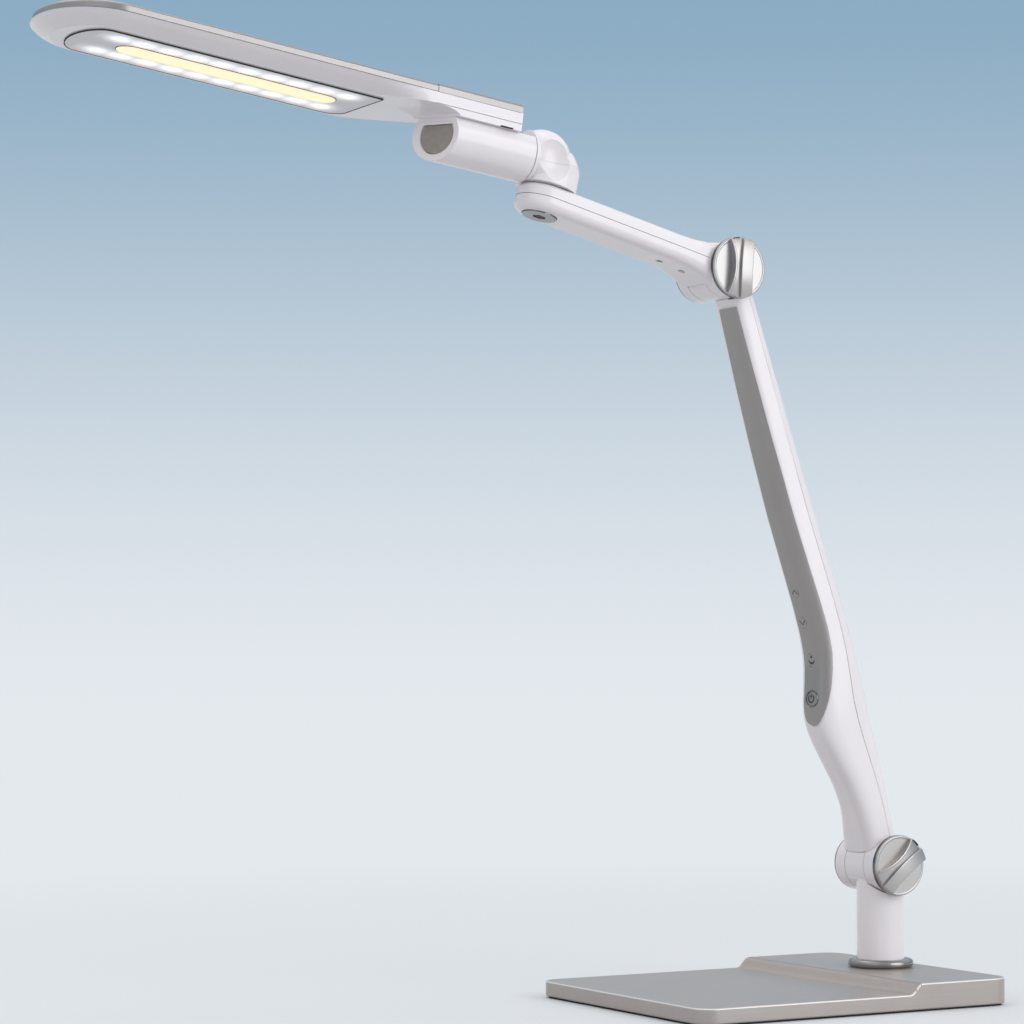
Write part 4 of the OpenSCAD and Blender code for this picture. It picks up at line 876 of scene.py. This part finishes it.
def roundTip(length, radius, count):
    turns = [math.pi * k / count for k in range(count + 1)]
    return [(-length - radius * math.sin(a), radius * math.cos(a)) for a in turns]


def upperPlan(look, inset):
    slim, knobRim = look["length"] - look["flare"], knob["radius"]
    xs = [-look["flare"] * (k / 40) for k in range(41)] + [-look["flare"] - slim * k / 20 for k in range(1, 21)]
    far, near = [], []
    for x in xs:
        far.append((x, farSide(look, (-x / look["flare"] - 0.25) / 0.75) - inset))
        g = min(1.0, max(0.0, (-x - knobRim) / (look["flare"] - knobRim)))
        near.append((x, look["front"] - (look["half"] + look["front"]) * g + inset))
    r = look["half"] - inset
    return far + roundTip(look["length"], r, 50)[1:-1] + near[::-1]


def makeUpperArm(look, joint):
    half, edges = look["thick"] / 2, []
    for a in quarter(8):
        edges.append((look["low"] * (1 - math.sin(a)), -half + look["low"] * (1 - math.cos(a))))
    for a in quarter(6):
        edges.append((look["top"] * (1 - math.cos(a)), half - look["top"] * (1 - math.sin(a))))

    def swell(x):
        rise = tableAt(look["shares"], max(-1.0, x / look["flare"]), 1, 0.3) if x > -look["flare"] else 0
        return 1 + rise * (joint["barrel"] / half - 1)

    rings = [[(x, y, z * swell(x)) for x, y in upperPlan(look, inset)] for inset, z in edges]
    arm = loft("upperArm", rings, onUpperArm, ladder=True)
    for low, high in ((look["front"], joint["near"]), (joint["far"], look["rear"])):  # the barrel's two cheeks
        cutWith(arm, [alongY(joint["barrel"], low, high, onUpperArm)], "UNION")
    (well, floor), (bore, boreFrom) = look["pivotWell"], look["bore"]
    rooms = [alongY(joint["wideRoom"], joint["near"], joint["far"], onUpperArm),
             lathe("cutter", [(well, -20), (well, floor)], onUpperArm @ moveBy(-look["length"], 0, 0)),
             alongY(bore, boreFrom, joint["beyond"], onUpperArm)]
    bottom = -half + look["wellDeep"]
    screwWell = [(look["wellMouth"], -30), (look["well"], -half - 0.1), (look["well"], bottom)]
    rooms += [lathe("cutter", screwWell, onUpperArm @ moveBy(x, 0, 0), 48) for x in look["screws"]]
    soften(cutWith(arm, rooms), 0.5, 42)
    settle(arm, "upper_arm", "white_plastic", stands=("upper_arm_top", "upper_arm_bottom"))


def makeSeam(look, line):  # a fine dark line round the arm, where its two shells meet
    half, length = look["half"], look["length"]
    far = [(-look["flare"] * (0.25 + 0.75 * k / 30), farSide(look, k / 30)) for k in range(31)]
    near = [(-knob["radius"] - line["knobGap"], look["front"]), (-look["flare"], -half)]
    path = far + roundTip(length, half, 60) + near[::-1]
    low, high, rings = line["z"] - line["high"] / 2, line["z"] + line["high"] / 2, []
    proud, deep = line["proud"], line["deep"]
    for i, (x, y) in enumerate(path):
        a, b = path[max(i - 1, 0)], path[min(i + 1, len(path) - 1)]
        dx, dy = b[0] - a[0], b[1] - a[1]
        size = math.hypot(dx, dy)
        nx, ny = dy / size, -dx / size
        if nx * (x + length / 2) + ny * y < 0:
            nx, ny = -nx, -ny
        corners = ((proud, low), (proud, high), (-deep, high), (-deep, low))
        rings.append([(x + nx * d, y + ny * d, z) for d, z in corners])
    darkJointAndShade(loft("upperArmSeam", rings, onUpperArm), "upper_arm")


makeUpperArm(upperArm, hinge)
makeSeam(upperArm, seamLine)
print("upper arm made")

# Keys with their rings and marks


def ribbon(name, points, width, low, high, body, closed=False):  # a raised line through points on a key
    sides, n = [[], []], len(points)
    for i, (x, y) in enumerate(points):
        a = points[(i - 1) % n] if closed or i else points[i]
        b = points[(i + 1) % n] if closed or i < n - 1 else points[i]
        dx, dy = b[0] - a[0], b[1] - a[1]
        size = math.hypot(dx, dy)
        for side, way in zip(sides, (1, -1)):
            side.append((x - way * dy / size * width / 2, y + way * dx / size * width / 2))
    if closed:
        obj = band(name, *sides, low, high, keyPlace(body))
    else:
        obj = prism(name, sides[0] + sides[1][::-1], low, high, keyPlace(body))
    soften(obj, 0.04, 30, 1)
    settle(obj, body, slotOf[body], "mark")


def powerProfile(look, r, top):  # a shallow dish inside the ring
    e, brim, dish = r - look["ring"], top - 0.1, look["dish"]
    profile = [(e, top - 3.8), (e, top - 0.75), (e - 0.12, top - 0.5), (e - 0.5, top - 0.25), (e - 1.1, brim)]
    profile += [((e - 1.1) * (1 - k / 8), brim - dish * math.sin(math.pi / 2 * k / 8)) for k in range(1, 8)]
    return profile + [(0.2, brim - dish)]


def makeKeys(look):
    for name, key in keys.items():
        place, r, top = keyPlace(name), key["size"] / 2, look["top"]
        if name == "power_button":
            profile = powerProfile(look, r, top)
        else:
            top -= look["lower"]
            profile = [(r, top - 3.6), (r, top - 0.08), (r - 0.08, top), (0.2, top)]
        settle(soften(lathe(name + "_cap", profile, place)), name, slotOf[name], "inlay", stands=(name,))
        if name == "power_button":
            e = r - look["ring"]
            edge = [(r - 0.12, top - 3.6), (r, top - 3.4), (r, top - 0.3), (r - 0.14, top - 0.08),
                    (r - 0.4, top), (e + 0.25, top - 0.02), (e + 0.06, top - 0.2), (e + 0.06, top - 3.4)]
            rings = list(zip(*([(x, y, z) for x, y in circle(a, 96)] for a, z in edge)))
            ring = loft("powerRing", rings, place, closed=True)
            settle(soften(ring, 0, 40), name, slotOf[name], "chrome")


def makeMarks(look):
    low, high, line = look["top"] - 0.6, look["top"] - 0.04, look["line"]
    ribbon("markPowerArc", arc(2.5, 35, 325), line, low, high, "power_button")
    ribbon("markPowerBar", [(0.6, 0), (2.9, 0)], line, low, high, "power_button")
    low, high = low - 0.08, high - 0.12
    ribbon("markModeDot", arc(0.55, 0, 351, 39, (1.9, 0)), look["dot"], low, high, "mode_button", True)
    crescent = arc(3.1, 100, 260, 24) + arc(2.75, 246, 114, 24, (1.25, 0))
    moon = prism("markModeMoon", crescent, low, high, keyPlace("mode_button"))
    settle(soften(moon, 0.03, 30, 1), "mode_button", "silver_plastic", "mark")
    for name, way in (("down_key", -1), ("up_key", 1)):
        ribbon("mark_" + name, [(-1.6 * way, -2.9), (1.4 * way, 0), (-1.6 * way, 2.9)], line, low, high, name)


makeKeys(keyLook)
makeMarks(keyLook)
print("keys made")

# Screws: one head with a cross slot, repeated by geometry nodes

screws = {"sides": 40, "radius": 2.4, "height": 1.3, "slotWidth": 0.75, "slotDepth": 0.7}
baseScrews = dict(screws, radius=2.9, height=1.0)
baseSeats = {"x": (-187.7, 12.3), "y": (-77.5, 77.5), "z": 2.2}


def screwTree(name, sides):
    tree = bpy.data.node_groups.new(name, "GeometryNodeTree")
    inputs = {"Geometry": "Geometry", "Radius": "Float", "Height": "Float", "Slot width": "Float",
              "Slot depth": "Float", "Finish": "Material"}  # the geometry first, as the modifier wants
    for label, kind in inputs.items():
        tree.interface.new_socket(label, in_out="INPUT", socket_type="NodeSocket" + kind)
    tree.interface.new_socket("Geometry", in_out="OUTPUT", socket_type="NodeSocketGeometry")
    g = Graph(tree)
    given, result = g.node("NodeGroupInput").outputs, g.node("NodeGroupOutput")
    radius, height = Num(g, given["Radius"]), Num(g, given["Height"])
    width, depth = Num(g, given["Slot width"]), Num(g, given["Slot depth"])
    screw = g.first("GeometryNodeMeshCylinder", {}, {"Vertices": sides, "Radius": radius, "Depth": height})
    up = g.first("ShaderNodeCombineXYZ", {}, {"Z": height * 0.5})
    length, deep = radius * 1.3, depth * 2.0
    for across, along in ((length, width), (width, length)):
        size = g.first("ShaderNodeCombineXYZ", {}, {"X": across, "Y": along, "Z": deep})
        bar = g.first("GeometryNodeMeshCube", {}, {"Size": size})
        moved = g.first("GeometryNodeTransform", {}, {"Geometry": bar, "Translation": up})
        meshes = {"Mesh 1": screw, "Mesh 2": moved}
        screw = g.first("GeometryNodeMeshBoolean", {"operation": "DIFFERENCE"}, meshes)
    corner = g.num("GeometryNodeInputIndex").calc("MODULO", 3.0)
    facing = g.first("GeometryNodeInputNormal")
    turn = g.first("FunctionNodeAlignRotationToVector", {"axis": "Z"}, {"Vector": facing})
    placed = g.first("GeometryNodeInstanceOnPoints", {}, {
        "Points": given["Geometry"], "Instance": screw, "Rotation": turn,
        "Selection": corner.calc("LESS_THAN", 0.5)})  # one head to each triangle
    real = g.first("GeometryNodeRealizeInstances", {}, {"Geometry": placed})
    painted = g.first("GeometryNodeSetMaterial", {}, {"Geometry": real, "Material": given["Finish"]})
    g.feed(result.inputs[0], painted)
    return tree


def makeScrews(name, node, places, out, place, look, tree):
    points, faces = [], []
    out = Vector(out)
    side = out.orthogonal()
    for at in places:  # a tiny triangle carries each seat's direction, its first corner the seat
        points += [Vector(at), Vector(at) + side * 0.01, Vector(at) + out.cross(side) * 0.01]
        faces.append((len(points) - 3, len(points) - 2, len(points) - 1))
    obj = addObject(name, newMesh(name, points, faces, place))
    step = obj.modifiers.new("heads", "NODES")
    step.node_group = tree
    values = {"Radius": look["radius"] * mm, "Height": look["height"] * mm, "Finish": finishes["steel"],
              "Slot width": look["slotWidth"] * mm, "Slot depth": look["slotDepth"] * mm}
    for item in tree.interface.items_tree:
        if item.in_out == "INPUT" and item.name in values:
            step[item.identifier] = values[item.name]
    settle(soften(bake(obj)), bodyOf[node], "steel", stands=(node,))


heads = screwTree("crossScrews", screws["sides"])
sink = screws["height"] / 2
underUpper = [(x, 0, -upperArm["thick"] / 2 + upperArm["wellDeep"] - sink) for x in upperArm["screws"]]
backOfArm = [(wellFloor(at) + sink, 0, at) for at in armScrewAt]
baseCorners = [(x, y, baseSeats["z"]) for x in baseSeats["x"] for y in baseSeats["y"]]
makeScrews("upperArmScrewHeads", "upper_arm_screws", underUpper, (0, 0, -1), onUpperArm, screws, heads)
makeScrews("lowerArmScrewHeads", "lower_arm_screws", backOfArm, (1, 0, 0), onLowerArm, screws, heads)
makeScrews("baseScrewHeads", "base_screws", baseCorners, (0, 0, -1), Matrix.Identity(4), baseScrews, heads)
print("screws made")

# Pin inside the socket's bore at the back of the base

pin = {"at": (21.3, 60, 8.65), "radius": 1.0, "tip": 0.45, "length": 7.5, "round": 0.6}


def makePin(look):
    r, fall, rise = look["radius"], look["radius"] - look["tip"], look["round"]
    shoulder = look["length"] - rise
    profile = [(r, 0), (r, shoulder)]
    profile += [(r - fall * k / 5, shoulder + rise * math.sin(math.pi / 2 * k / 5)) for k in range(1, 6)]
    settle(turned("socketPin", profile, moveBy(*look["at"]) @ turnBy(90), 40), "base", "steel")


makePin(pin)
print("pin made")

# Floor, backdrop and light

studio = {
    "high": (136, 170, 194), "low": (228, 233, 238), "above": (226, 227, 229), "floor": (228, 232, 236),
    "shade": (188, 188, 189), "world": 0.74, "blueRise": (-0.03, 0.24), "blueFade": (0.24, 0.42),
    "floorHalf": 6000, "near": 0.32, "far": 1.3,
    "lamps": {"key": {"power": 29, "size": 2.5, "place": (1.1, -2.4, 1.2), "aim": (-0.1, 0, 0.3)},
              "fill": {"power": 1.5, "size": 1.8, "place": (-1.9, -0.9, 0.9), "aim": (-0.1, 0, 0.35)},
              "top": {"power": 8, "size": 2.0, "place": (-0.5, 0.5, 2.1), "aim": (-0.1, 0, 0.2)}},
}


def addWorld(look):
    bpy.context.scene.view_settings.view_transform = "Standard"
    world = bpy.data.worlds.new("studio")
    world.use_nodes = True
    bpy.context.scene.world = world
    g = Graph(world.node_tree)
    light, output = g.tree.nodes["Background"], g.tree.nodes["World Output"]
    g.feed(light.inputs["Color"], (1, 1, 1, 1))
    g.feed(light.inputs["Strength"], look["world"])
    way = g.node("ShaderNodeTexCoord").outputs["Generated"]
    height = g.node("ShaderNodeSeparateXYZ", {}, {0: way}).outputs["Z"]
    blue = g.mix(g.rise(height, *look["blueRise"]), paint(*look["low"]), paint(*look["high"]))
    colour = g.mix(g.rise(height, *look["blueFade"]), blue, paint(*look["above"]))  # paler again overhead
    backdrop = g.first("ShaderNodeBackground", {}, {"Color": colour})
    blend = g.first("ShaderNodeMixShader", {}, {0: g.backdropRays(), 1: light.outputs[0], 2: backdrop})
    g.feed(output.inputs[0], blend)


def addFloor(look):
    d = look["floorHalf"]
    floor = addMesh("floor", [(-d, -d, 0), (d, -d, 0), (d, d, 0), (-d, d, 0)], [(0, 1, 2, 3)])
    f = Finish("floorPaint")
    seen = f.backdropRays()
    f.set(Base_Color=f.mix(seen, paint(*look["shade"]), paint(*look["floor"])), Roughness=0.55)
    away = f.num("ShaderNodeVectorMath", {"operation": "LENGTH"}, {0: f.place}, "Value")
    fade = ((away - look["near"]) / (look["far"] - look["near"])).clip()
    glow = f.first("ShaderNodeEmission", {}, {"Color": paint(*look["low"])})
    blend = f.first("ShaderNodeMixShader", {}, {0: fade * seen, 1: f.shader.outputs[0], 2: glow})
    f.feed(f.tree.nodes["Material Output"].inputs[0], blend)
    floor.data.materials.append(f.material)


def addLamp(name, look):
    data = bpy.data.lights.new(name, "AREA")
    data.energy, data.shape, data.size = look["power"], "DISK", look["size"]
    lamp = addObject(name, data)
    aim = (Vector(look["aim"]) - Vector(look["place"])).to_track_quat("-Z", "Y").to_matrix().to_4x4()
    lamp.matrix_world = Matrix.Translation(look["place"]) @ aim
    lamp.visible_camera = False


addWorld(studio)
addFloor(studio)
for name, look in studio["lamps"].items():
    addLamp(name, look)
print("studio lit")
